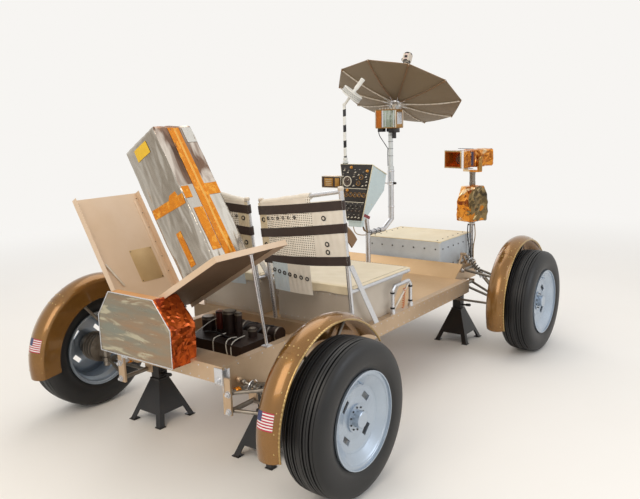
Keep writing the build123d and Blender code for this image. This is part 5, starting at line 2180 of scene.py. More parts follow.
@dataclass
class Console:
    """Instrument console: panel dressed with dials and knobs, side trim and left unit."""

    foot: Point = (0.31, 0.0, 0.95)
    lean: Point = (-0.9945, 0.0, 0.1047)
    face: float = 0.006
    top: float = 0.379
    top_half: float = 0.124
    foot_half: float = 0.056
    mast_x: float = 0.79

    def at(self, right: float, up: float, out: float = 0.0) -> Matrix:
        """Return a place on the panel, Z out of it.

        Args:
            right: Distance right of its middle, seen from the seats.
            up: Distance up from its foot.
            out: Distance out of its face.

        Returns:
            A matrix.
        """
        place = basis(self.foot, (0.0, -1.0, 0.0), self.lean)
        return place @ moved(right, up, self.face + out)

    def half(self, up: float) -> float:
        """Return half the panel's width.

        Args:
            up: Distance up from its foot.

        Returns:
            Metres.
        """
        share = (up - 0.01) / (self.top - 0.01)
        return self.foot_half + share * (self.top_half - self.foot_half)

    def dial(self, right: float, up: float, radius: float) -> list[Piece]:
        """Model a dial: turned bezel, card face, hub and pointer.

        Args:
            right: Distance right of the panel's middle.
            up: Distance up from its foot.
            radius: Radius of its bezel.

        Returns:
            The pieces, each with its finish.
        """
        place = self.at(right, up)
        bezel = add_turned(
            "bezel", [
                (-0.0005, radius * 0.8), (-0.0005, radius), (0.003, radius * 0.985),
                (0.004, radius * 0.93), (0.0032, radius * 0.84)
            ], place @ AXIS_BACK, 28
        )
        turn_out(bezel)
        card = add_round("card", [(radius * 0.86, -0.0004), (radius * 0.86, 0.0012)], place, 28)
        needle = add_block(
            "needle", (radius * 0.1, radius * 0.66, 0.0008),
            place @ Matrix.Rotation(0.7 + right * 21.0, 4, "Z") @ moved(0, radius * 0.24, 0.0018),
            0.0002, 1
        )
        hub = add_round(
            "hub", [(radius * 0.18, 0.0), (radius * 0.16, 0.0026), (radius * 0.08, 0.0032)], place,
            14
        )
        return [
            paint(bezel, PALE_MARK if radius > 0.025 else GOLD_PLATE), paint(card, DIAL_FACE),
            paint(needle, PALE_MARK), paint(hub, CONSOLE_BLACK)
        ]

    def ticks(self, right: float, up: float, radius: float, count: int) -> Piece:
        """Model the pale tick marks round a dial.

        Args:
            right: Distance right of the panel's middle.
            up: Distance up from its foot.
            radius: Radius of the ring of ticks.
            count: Number of ticks over 270 degrees.

        Returns:
            The ticks as one piece.
        """
        tick = add_block("tick", (0.0012, radius * 0.2, 0.0006), HERE, 0.0002, 1)
        places = []
        for number in range(count):
            angle = math.radians(-135.0 + 270.0 * number / (count - 1))
            turn = Matrix.Rotation(-angle, 4, "Z")
            places.append(self.at(right, up, 0.001) @ turn @ moved(0.0, radius, 0.0))
        return paint(copies("ticks", tick, places), PALE_MARK)

    def panel(self) -> None:
        """Model what stands on the panel: frame plates, dials, knobs, switches and marks."""
        plates = (("top", 0.226, 0.372), ("middle", 0.137, 0.216), ("foot", 0.016, 0.125))
        parts = [self.plate(name, low, high) for name, low, high in plates]
        for up in (0.2205, 0.1305):
            bar = add_block(
                "bar", (2 * self.half(up) - 0.01, 0.0042, 0.005), self.at(0.0, up), 0.001, 2
            )
            parts.append(paint(bar, PALE_MARK))
        parts += self.dial(-0.064, 0.267, 0.035)
        parts.append(self.ticks(-0.064, 0.267, 0.0262, 13))
        parts += self.dial(0.024, 0.256, 0.017)
        parts += self.dial(0.046, 0.296, 0.0165)
        for number in range(5):
            right = -0.068 + number * 0.0345
            parts += self.dial(right, 0.1785 + 0.002 * (number % 2), 0.0158)
        for right, up in ((-0.058, 0.1055), (-0.02, 0.104), (0.02, 0.1055), (0.056, 0.104)):
            parts.append(self.knob(right, up, 0.0088, CONSOLE_BLACK))
        for right, up in ((-0.048, 0.0745), (-0.016, 0.073), (0.016, 0.0745), (0.046, 0.073)):
            parts.append(self.knob(right, up, 0.0072, DIAL_FACE))
        for right, up in (
            (-0.042, 0.03), (-0.014, 0.03), (0.014, 0.032), (0.04, 0.03), (-0.088, 0.34),
            (-0.06, 0.326), (0.0, 0.328), (0.026, 0.312), (0.084, 0.3), (0.09, 0.268),
            (0.086, 0.245), (0.06, 0.24), (-0.1, 0.3), (-0.012, 0.3), (-0.01, 0.24)
        ):
            parts.append(self.switch(right, up))
        for right, up in ((-0.035, 0.36), (0.0914, 0.338), (-0.061, 0.208)):
            parts.append(self.knob(right, up, 0.0095, YELLOW_KNOB))
        marks = add_block("mark", (0.011, 0.0018, 0.0005), HERE, 0.0001, 1)
        places = []
        for right, up in (
            (-0.088, 0.353), (-0.058, 0.34), (-0.004, 0.345), (0.03, 0.347), (0.06, 0.33),
            (0.086, 0.315), (0.088, 0.283), (-0.098, 0.316), (-0.01, 0.315), (0.01, 0.28),
            (-0.052, 0.122), (-0.014, 0.121), (0.024, 0.122), (0.06, 0.121), (-0.044, 0.089),
            (-0.012, 0.088), (0.02, 0.089), (-0.04, 0.048), (0.0, 0.048), (0.036, 0.048)
        ):
            places.append(self.at(right, up, 0.0008))
        parts.append(paint(copies("marks", marks, places), PALE_MARK))
        hand_over(join("console_panel_fittings", parts))

    def plate(self, name: str, low: float, high: float) -> Piece:
        """Model one of the three plates that the panel is made of.

        Args:
            name: Name of the plate.
            low: Lower edge up the panel.
            high: Upper edge up the panel.

        Returns:
            The plate.
        """
        inset = 0.004
        corners = [
            (-self.half(low) + inset, low), (self.half(low) - inset, low),
            (self.half(high) - inset, high), (-self.half(high) + inset, high)
        ]
        plate = add_prism(name, corners, self.at(0.0, 0.0, -0.0006), 0.0016, 0.0005)
        return paint(plate, CONSOLE_BLACK)

    def knob(self, right: float, up: float, radius: float, finish: Finish) -> Piece:
        """Model a knob with its skirt and a pale pointer groove.

        Args:
            right: Distance right of the panel's middle.
            up: Distance up from its foot.
            radius: Radius of its skirt.
            finish: Its finish.

        Returns:
            The knob.
        """
        knob = add_round(
            "knob", [
                (radius, -0.0004), (radius, 0.002), (radius * 0.76, 0.0036), (radius * 0.7, 0.011),
                (radius * 0.52, 0.0124)
            ], self.at(right, up), 16
        )
        paint(knob, finish)
        pointer = add_block(
            "pointer", (radius * 0.16, radius * 1.0, 0.0012),
            self.at(right, up, 0.0122) @ Matrix.Rotation(right * 9.0, 4, "Z"), 0.0002, 1
        )
        paint(pointer, PALE_MARK)
        return join("knob", [knob, pointer])

    def switch(self, right: float, up: float) -> Piece:
        """Model a toggle switch: nut, collar and lever.

        Args:
            right: Distance right of the panel's middle.
            up: Distance up from its foot.

        Returns:
            The switch.
        """
        nut = add_round(
            "nut", [(0.0052, -0.0004), (0.0052, 0.002), (0.0036, 0.0026), (0.003, 0.006)],
            self.at(right, up), 6
        )
        lever = add_round(
            "lever", [(0.0014, 0.0), (0.0022, 0.011), (0.0016, 0.0124)],
            self.at(right, up, 0.0045) @ Matrix.Rotation(0.35, 4, "X"), 10
        )
        return paint(join("switch", [nut, lever]), PALE_MARK)

    def shell_trim(self) -> None:
        """Model the shell's cream edge strips, its seam, screws and the plain red label."""
        strips = []
        for side in (-1, 1):
            low = (0.3118, side * 0.0605, 0.962)
            high = (0.3495, side * 0.1262, 1.326)
            strips.append(add_rod("strip", low, high, 0.0034, 8, 0.0008))
            front = (0.536, side * 0.1185, 1.252)
            strips.append(add_rod("strip", high, front, 0.003, 8, 0.0008))
        strips.append(add_rod(
            "strip", (0.35, -0.126, 1.327), (0.35, 0.126, 1.327), 0.0036, 8, 0.0008
        ))
        deliver(join("console_edge_strips", strips), CONSOLE_CREAM)
        label = add_block(
            "plain_red_label", (0.084, 0.02, 0.0012),
            basis((0.367, -0.0644, 0.982), (0.0805, 0.0055, -0.0306), (0.0, -0.984, -0.178)),
            0.0003, 1
        )
        deliver(label, RED_LABEL)
        screw = add_round("screw", [(0.0034, -0.0005), (0.0034, 0.0006), (0.002, 0.0014)], HERE, 8)
        places = []
        for side in (-1, 1):
            for x, z in (
                (0.365, 1.3), (0.43, 1.27), (0.505, 1.238), (0.35, 1.13), (0.5, 1.12), (0.4, 1.06)
            ):
                y = side * (0.06 + (z - 0.958) / 0.382 * 0.069)
                tilt = (x, y + side * 1.0, z - 0.18)
                places.append(aim((x, y, z), tilt))
        deliver(
            copies("console_screws", screw, places), CONSOLE_CREAM, outward=True
        )

    def side_unit(self) -> None:
        """Model the left unit's gold faces, bright edges and grille slots."""
        gold = []
        for y, wide in ((0.232, 0.07), (0.161, 0.036)):
            gold.append(add_block(
                "plate", (0.003, wide, 0.056), moved(0.3512, y, 1.204), 0.0008, 2
            ))
        gold.append(add_block("top", (0.036, 0.13, 0.0024), moved(0.377, 0.212, 1.2436), 0.0008, 2))
        plates = join("side_unit_gold_plates", gold)
        crumple(plates, 0.03, 0.0006, 2.0, 0.0)
        deliver(plates, GOLD_PLATE)
        edges = []
        for z in (1.1662, 1.2418):
            edges.append(add_rod("edge", (0.3525, 0.131, z), (0.3525, 0.291, z), 0.002, 8, 0.0005))
        for y in (0.1315, 0.2905):
            edges.append(add_rod("edge", (0.3525, y, 1.166), (0.3525, y, 1.242), 0.002, 8, 0.0005))
        for z in (1.184, 1.196, 1.208, 1.22):
            edges.append(add_block(
                "slot", (0.004, 0.05, 0.0022), moved(0.3498, 0.232, z), 0.0005, 1
            ))
        deliver(join("side_unit_bright_edges", edges), PALE_MARK)

    def foot_leads(self) -> None:
        """Model the amber plug under the console and its fixed leads to the stand."""
        plug = add_round(
            "amber_plug", [
                (0.015, 0.0), (0.0185, 0.004), (0.0185, 0.022), (0.015, 0.026), (0.012, 0.04),
                (0.007, 0.05)
            ], aim((0.372, -0.012, 0.97), (0.388, -0.02, 0.9)), 20
        )
        deliver(plug, ORANGE_CABLE)
        amber = [
            (
                0.0042, [
                    (0.383, -0.018, 0.926), (0.388, -0.02, 0.895), (0.415, -0.012, 0.872),
                    (0.452, -0.01, 0.868)
                ]
            ), (
                0.003, [
                    (0.345, 0.03, 0.922), (0.35, 0.034, 0.88), (0.4, 0.024, 0.842),
                    (0.462, 0.012, 0.838)
                ]
            )
        ]
        deliver(add_leads("console_amber_leads", amber, 12), GOLD_CABLE)
        black = add_lead(
            "console_black_lead", [
                (0.36, -0.035, 0.93), (0.372, -0.04, 0.885), (0.43, -0.03, 0.862),
                (0.52, -0.02, 0.852), (0.62, -0.0175, 0.851)
            ], 0.0028, 12
        )
        deliver(black, BLACK_CABLE)
        ties = []
        for x in (0.5, 0.56, 0.618):
            ties.append(add_loop(
                "tie", aim((x, 0.0, 0.85), (x + 1.0, 0.0, 0.85)), 0.0182, 0.0018, 24, 6
            ))
        deliver(join("console_stand_ties", ties), BLACK_CABLE)

    def stand_trim(self) -> None:
        """Model the clamp rings of the mast's socket and the flange bolts of the stand."""
        rings = []
        for z, radius in ((1.158, 0.0245), (1.176, 0.025), (1.252, 0.025), (0.998, 0.0225)):
            rings.append(add_turned(
                "ring", [
                    (-0.004, radius - 0.003), (-0.004, radius), (0.0, radius + 0.0016),
                    (0.004, radius), (0.004, radius - 0.003)
                ], moved(self.mast_x, 0.0, z) @ AXIS_BACK, 32
            ))
        bolt = add_round("bolt", [(0.0055, 0.0), (0.0055, 0.004), (0.003, 0.0048)], HERE, 6)
        places = [
            Matrix.Translation((
                0.477 + 0.038 * math.cos(k * math.pi / 3), 0.038 * math.sin(k * math.pi / 3), 0.5268
            ))
            for k in range(6)
        ]
        rings.append(copies("bolts", bolt, places))
        deliver(
            join("console_stand_rings_and_bolts", rings), BRIGHT_TUBE, outward=True
        )
        grips = []
        for y in (-0.034, 0.062):
            way = 1.0 if y > 0 else -1.0
            grips.append(add_round(
                "grip", [(0.006, 0.0), (0.0084, 0.003), (0.0084, 0.016), (0.006, 0.019)],
                aim((self.mast_x, y - way * 0.01, 1.166), (self.mast_x, y + way, 1.166)), 16
            ))
        deliver(join("mast_clamp_grips", grips), STAND_ENAMEL)

    def build(self) -> None:
        """Build the console's fittings."""
        self.panel()
        self.shell_trim()
        self.side_unit()
        self.foot_leads()
        self.stand_trim()


@dataclass
class HighGain:
    """High-gain antenna: dressed electronics box, collars, dish rim, ribs and feed."""

    pivot: Point = (0.854, 0.0, 1.702)
    tilt: float = 27.7
    gap: float = 0.024
    rim: float = 0.452
    depth: float = 0.075
    ribs: int = 10
    first: float = 18.0
    cover_z: float = 1.6175
    mast_x: float = 0.79

    def dish(self) -> Matrix:
        """Return the dish's place, Z along its axis and X to the left."""
        lean = math.radians(self.tilt)
        way = (math.sin(lean), 0.0, math.cos(lean))
        foot = Vector(self.pivot) + self.gap * Vector(way)
        return basis(tuple(foot), (0.0, 1.0, 0.0), way)

    def shell(self, radius: float, angle: float, lift: float = 0.0) -> Point:
        """Return a point on the dish.

        Args:
            radius: Distance from its axis.
            angle: Angle round it in degrees.
            lift: Distance above the ribs' lower edge.

        Returns:
            A point in the rover's frame.
        """
        turn = math.radians(angle)
        height = self.depth * (radius / self.rim) ** 2 + lift
        spot = Vector((radius * math.cos(turn), radius * math.sin(turn), height))
        return tuple(self.dish() @ spot)

    def rim_wire(self) -> None:
        """Model the lacquered wire that runs from rib to rib along the rim."""
        step = 360.0 / self.ribs
        parts = []
        for number in range(self.ribs):
            angle = self.first + number * step
            start = self.shell(self.rim - 0.004, angle, 0.0065)
            end = self.shell(self.rim - 0.004, angle + step, 0.0065)
            parts.append(add_rod("wire", start, end, 0.0034, 10, 0.0008))
            parts.append(add_round(
                "tip", [(0.0045, -0.004), (0.006, -0.002), (0.006, 0.005), (0.004, 0.007)], aim(
                    self.shell(self.rim - 0.01, angle, 0.001),
                    self.shell(self.rim + 0.02, angle, 0.004)
                ), 12
            ))
        deliver(join("dish_rim_wire", parts), DISH_WIRE, "high_gain_reflector")

    def rib_tubes(self) -> None:
        """Model the ribs' tubes under the gauze: white, brown where the upper ones are taped."""
        step = 360.0 / self.ribs
        white = []
        amber = []
        lacing = []
        for number in range(self.ribs):
            angle = self.first + number * step
            points = [
                self.shell(radius, angle, 0.0012) for radius in (0.03, 0.12, 0.21, 0.3, 0.38, 0.448)
            ]
            tube = add_lead("tube", points, 0.0042, 12)
            taped = round(angle) in (90, 126, 162)
            (amber if taped else white).append(tube)
            for knot in range(9):
                radius = 0.07 + knot * 0.044
                spot = self.shell(radius, angle, 0.0012)
                ahead = self.shell(radius + 0.01, angle, 0.0012)
                lacing.append(add_loop("tie", aim(spot, ahead), 0.0046, 0.0009, 12, 5))
        for name, group, finish in (
            ("dish_white_ribs", white, RIB_WHITE), ("dish_amber_ribs", amber, DISH_WIRE),
            ("dish_rib_lacing", lacing, DARK_WEBBING)
        ):
            deliver(join(name, group), finish, "high_gain_reflector")

    def hub(self) -> None:
        """Model the hub's stepped cap, its hinges and spring arms."""
        parts = [add_turned(
            "cap",
            [(-0.011, 0.012), (-0.011, 0.03), (-0.006, 0.04), (0.003, 0.044), (0.003, 0.012)],
            self.dish() @ AXIS_BACK, 40
        )]
        step = 360.0 / self.ribs
        for number in range(self.ribs):
            angle = self.first + number * step
            parts.append(add_rod(
                "hinge", self.shell(0.03, angle - 7.0, -0.002),
                self.shell(0.03, angle + 7.0, -0.002), 0.005, 10, 0.001
            ))
            parts.append(add_rod(
                "brace", self.shell(0.036, angle, -0.01), self.shell(0.095, angle, -0.001), 0.0026,
                8, 0.0006
            ))
        deliver(
            join("dish_hub", parts), BRIGHT_TUBE, "high_gain_reflector",
            outward=True
        )

    def feed(self) -> None:
        """Model the feed: pale barrel, dark end rings and the clamp on its rod."""
        dish = self.dish()
        barrel = add_turned(
            "feed_barrel", [
                (-0.334, 0.01), (-0.334, 0.0235), (-0.34, 0.0262), (-0.386, 0.0262),
                (-0.392, 0.024), (-0.392, 0.01)
            ], dish @ AXIS_Z, 32
        )
        rings = []
        for along, radius in ((0.3, 0.0225), (0.318, 0.0232), (0.334, 0.028), (0.392, 0.028)):
            rings.append(add_turned(
                "ring", [
                    (-along - 0.005, 0.01), (-along - 0.005, radius - 0.002),
                    (-along - 0.003, radius), (-along + 0.003, radius),
                    (-along + 0.005, radius - 0.002), (-along + 0.005, 0.01)
                ], dish @ AXIS_Z, 28
            ))
        for x, y in ((0.03, 0.0), (-0.03, 0.0), (0.0, 0.028)):
            rings.append(add_round(
                "stub", [(0.01, 0.0), (0.012, 0.003), (0.012, 0.015), (0.009, 0.018)],
                dish @ moved(x * 0.8, y * 0.8, 0.352) @ Matrix.Rotation(
                    math.pi / 2 if x else 0.0, 4, "Y"
                ), 16
            ))
        deliver(barrel, FEED_PINK, "high_gain_reflector", outward=True)
        deliver(
            join("feed_dark_rings", rings), STAND_ENAMEL, "high_gain_reflector",
            outward=True
        )

    def electronics(self) -> None:
        """Model the electronics box's faces, edges, brackets and fixed leads."""
        face = add_block(
            "electronics_amber_face", (0.003, 0.046, 0.116), moved(0.7212, 0.053, self.cover_z),
            0.001, 2
        )
        modify(face, "REMESH", mode="VOXEL", voxel_size=0.003)
        crumple(face, 0.03, 0.0012, 5.0, 0.2)
        facet(face, 0.35, 20.0)
        deliver(face, AMBER_FILM, "high_gain_post")
        window = add_block(
            "electronics_mirror_cover", (0.003, 0.104, 0.116), moved(0.7214, -0.024, self.cover_z),
            0.001, 2
        )
        deliver(window, GREEN_MIRROR, "high_gain_post")
        bars = []
        for y, wide, low, high in (
            (0.022, 0.013, 1.56, 1.676), (-0.003, 0.004, 1.566, 1.664), (-0.066, 0.006, 1.56, 1.676)
        ):
            bars.append(add_block(
                "bar", (0.003, wide, high - low), moved(0.7192, y, (low + high) / 2), 0.0006, 1
            ))
        for z in (1.664, 1.655, 1.646, 1.622):
            bars.append(add_block(
                "bar", (0.003, 0.034, 0.0028), moved(0.7194, -0.036, z), 0.0006, 1
            ))
        deliver(join("electronics_cover_bars", bars), BRIGHT_TUBE, "high_gain_post")
        motor = [
            add_block("mount", (0.079, 0.046, 0.034), moved(0.7725, -0.039, 1.5395), 0.002, 2),
            add_block("mount", (0.039, 0.044, 0.027), moved(0.7525, 0.05, 1.542), 0.002, 2),
            add_round(
                "motor", [(0.013, 0.0), (0.015, 0.002), (0.015, 0.044), (0.011, 0.047)],
                moved(0.762, -0.045, 1.483), 24
            )
        ]
        deliver(join("electronics_black_motor", motor), STAND_ENAMEL, "high_gain_post")
        side = []
        for y in (-0.0812, 0.0812):
            side.append(add_block("plate", (0.066, 0.003, 0.084), moved(0.774, y, 1.622), 0.001, 2))
            for number in range(8):
                x = 0.748 + number * 0.0074
                side.append(add_block(
                    "line", (0.002, 0.002, 0.07), moved(x, y + math.copysign(0.0016, y), 1.622),
                    0.0005, 1
                ))
        deliver(join("electronics_lined_plates", side), BRIGHT_TUBE, "high_gain_post")
        edges = []
        for x, y in ((0.722, -0.08), (0.722, 0.08), (0.822, -0.08), (0.822, 0.08)):
            edges.append(add_rod("edge", (x, y, 1.557), (x, y, 1.678), 0.0044, 10, 0.001))
        for y in (-0.045, 0.0, 0.045):
            edges.append(add_block("bracket", (0.03, 0.01, 0.016), moved(0.77, y, 1.687), 0.002, 2))
            edges.append(add_round(
                "pin", [(0.006, 0.0), (0.006, 0.012), (0.0035, 0.014)],
                moved(0.745, y + 0.012, 1.679), 12
            ))
        deliver(join("electronics_white_edges", edges), RIB_WHITE, "high_gain_post")
        gold = []
        for z in (1.5565, 1.6785):
            for y in (-0.08, 0.08):
                gold.append(add_rod("rail", (0.724, y, z), (0.82, y, z), 0.0038, 8, 0.001))
            gold.append(add_rod("rail", (0.722, -0.078, z), (0.722, 0.078, z), 0.0038, 8, 0.001))
        deliver(join("electronics_gold_rails", gold), GOLD_PLATE, "high_gain_post")
        dark = [
            add_turned(
                "collar", [
                    (-0.012, 0.015), (-0.012, 0.026), (-0.008, 0.029), (0.008, 0.029),
                    (0.012, 0.026), (0.012, 0.015)
                ], moved(self.mast_x, 0.0, 1.54) @ AXIS_Z, 32
            ), add_lead(
                "lead", [
                    (0.745, 0.066, 1.556), (0.738, 0.074, 1.52), (0.765, 0.045, 1.46),
                    (0.782, 0.018, 1.41)
                ], 0.0028, 12
            ), add_lead(
                "lead", [
                    (0.782, 0.018, 1.412), (0.779, 0.0185, 1.38), (0.781, 0.0185, 1.33),
                    (0.783, 0.0195, 1.288)
                ], 0.0028, 12
            )
        ]
        for z in (1.505, 1.46, 1.41, 1.36):
            dark.append(add_loop("tie", moved(self.mast_x, 0.0, z), 0.0168, 0.0016, 24, 6))
        deliver(
            join("mast_dark_collar_and_lead", dark), BLACK_CABLE, "high_gain_post",
            outward=True
        )

    def build(self) -> None:
        """Build the antenna's dressing."""
        self.rim_wire()
        self.rib_tubes()
        self.hub()
        self.feed()
        self.electronics()


@dataclass
class LowGain:
    """Low-gain antenna: taped mast, socket trim, punched drum and its gold mouth."""

    mast: tuple[float, float] = (0.38, 0.11)
    back: Point = (0.38, 0.062, 1.768)
    way: Point = (0.25, -0.58, 0.775)
    radius: float = 0.07

    def drum(self) -> Matrix:
        """Return the drum's place, Z out of its closed end."""
        return aim(self.back, tuple(Vector(self.back) + Vector(self.way)))

    def sleeve(self) -> None:
        """Model the sleeve of slanted black and white tape along the mast."""
        x, y = self.mast
        sleeve = add_round(
            "mast_taped_sleeve", [(0.0094, 0.0), (0.0104, 0.002), (0.0104, 0.334), (0.0094, 0.336)],
            moved(x, y, 1.37), 24
        )
        deliver(sleeve, MAST_TAPE, "low_gain_head")

    def shell(self) -> None:
        """Model the drum's white front ring, rolled edges and punched holes."""
        drum = self.drum()
        axle = drum @ AXIS_Z
        ring = add_turned(
            "drum_front_ring", [
                (0.0008, 0.04), (0.003, 0.042), (0.003, 0.068), (0.0008, 0.0712), (-0.004, 0.0716),
                (-0.004, 0.069), (-0.0008, 0.064), (-0.0008, 0.04)
            ], axle, 56
        )
        rim = add_turned(
            "drum_back_edge", [
                (-0.0345, 0.069), (-0.0345, 0.0716), (-0.039, 0.0712), (-0.04, 0.068),
                (-0.04, 0.064), (-0.0378, 0.064)
            ], axle, 56
        )
        deliver(
            join("drum_white_rings", [ring, rim]), ANTENNA_WHITE, "low_gain_head",
            outward=True
        )
        hole = add_round("hole", [(0.0036, -0.0006), (0.0036, 0.0005), (0.0022, 0.0002)], HERE, 8)
        places = []
        for row in range(3):
            for number in range(30):
                angle = math.radians(12.0 * number + 6.0 * (row % 2))
                spot = (
                    self.radius * math.cos(angle), self.radius * math.sin(angle),
                    0.009 + row * 0.0095
                )
                tip = (2 * spot[0], 2 * spot[1], spot[2])
                places.append(drum @ aim(spot, tip))
        deliver(
            copies("drum_punched_holes", hole, places), STAND_ENAMEL,
            "low_gain_head", outward=True
        )

    def mouth(self) -> None:
        """Model the drum's gold cup and the pale cross bar with its hub."""
        drum = self.drum()
        cup = add_turned(
            "drum_gold_cup", [
                (0.0006, 0.0402), (-0.032, 0.0402), (-0.032, 0.01), (-0.03, 0.01), (-0.03, 0.0385),
                (0.0006, 0.0385)
            ], drum @ AXIS_Z, 48
        )
        disc = add_round("disc", [(0.0385, 0.0295), (0.0385, 0.0325)], drum, 48)
        deliver(
            join("drum_gold_cup", [cup, disc]), DRUM_GOLD, "low_gain_head",
            outward=True
        )
        bars = [add_round("hub", [(0.008, 0.0295), (0.008, 0.004), (0.006, 0.002)], drum, 16)]
        for angle in (0.35, 0.35 + math.pi / 2):
            bars.append(add_block(
                "bar", (0.076, 0.004, 0.003),
                drum @ Matrix.Rotation(angle, 4, "Z") @ moved(0.0, 0.0, 0.006), 0.0008, 1
            ))
        deliver(
            join("drum_cross_bars", bars), WHITE_CABLE, "low_gain_head",
            outward=True
        )

    def fittings(self) -> None:
        """Model the grip along the rod behind the drum, and the socket's collar and lead."""
        start = Vector(self.back) + Vector(self.way).normalized() * 0.06
        end = Vector(self.back) + Vector(self.way).normalized() * 0.14
        grip = add_round(
            "aiming_grip", [
                (0.0112, 0.0), (0.014, 0.003), (0.014, 0.062), (0.0152, 0.066), (0.0152, 0.08),
                (0.012, 0.0815)
            ], aim(tuple(start), tuple(end)), 24
        )
        deliver(grip, ANTENNA_WHITE, "low_gain_head")
        x, y = self.mast
        points = []
        for step in range(31):
            angle = math.radians(step * 24.0)
            points.append((
                x + 0.0186 * math.cos(angle), y + 0.0186 * math.sin(angle),
                1.3 + step * 0.00135 + 0.004 * math.sin(step * 0.9)
            ))
        lead = add_lead("socket_black_lead", points, 0.002, 8)
        deliver(lead, BLACK_CABLE)
        collar = add_round(
            "socket_collar", [(0.0172, 0.0), (0.0195, 0.002), (0.0195, 0.008), (0.0172, 0.01)],
            moved(x, y, 1.334), 28
        )
        deliver(collar, ANTENNA_WHITE)

    def build(self) -> None:
        """Build the antenna's dressing."""
        self.sleeve()
        self.shell()
        self.mouth()
        self.fittings()


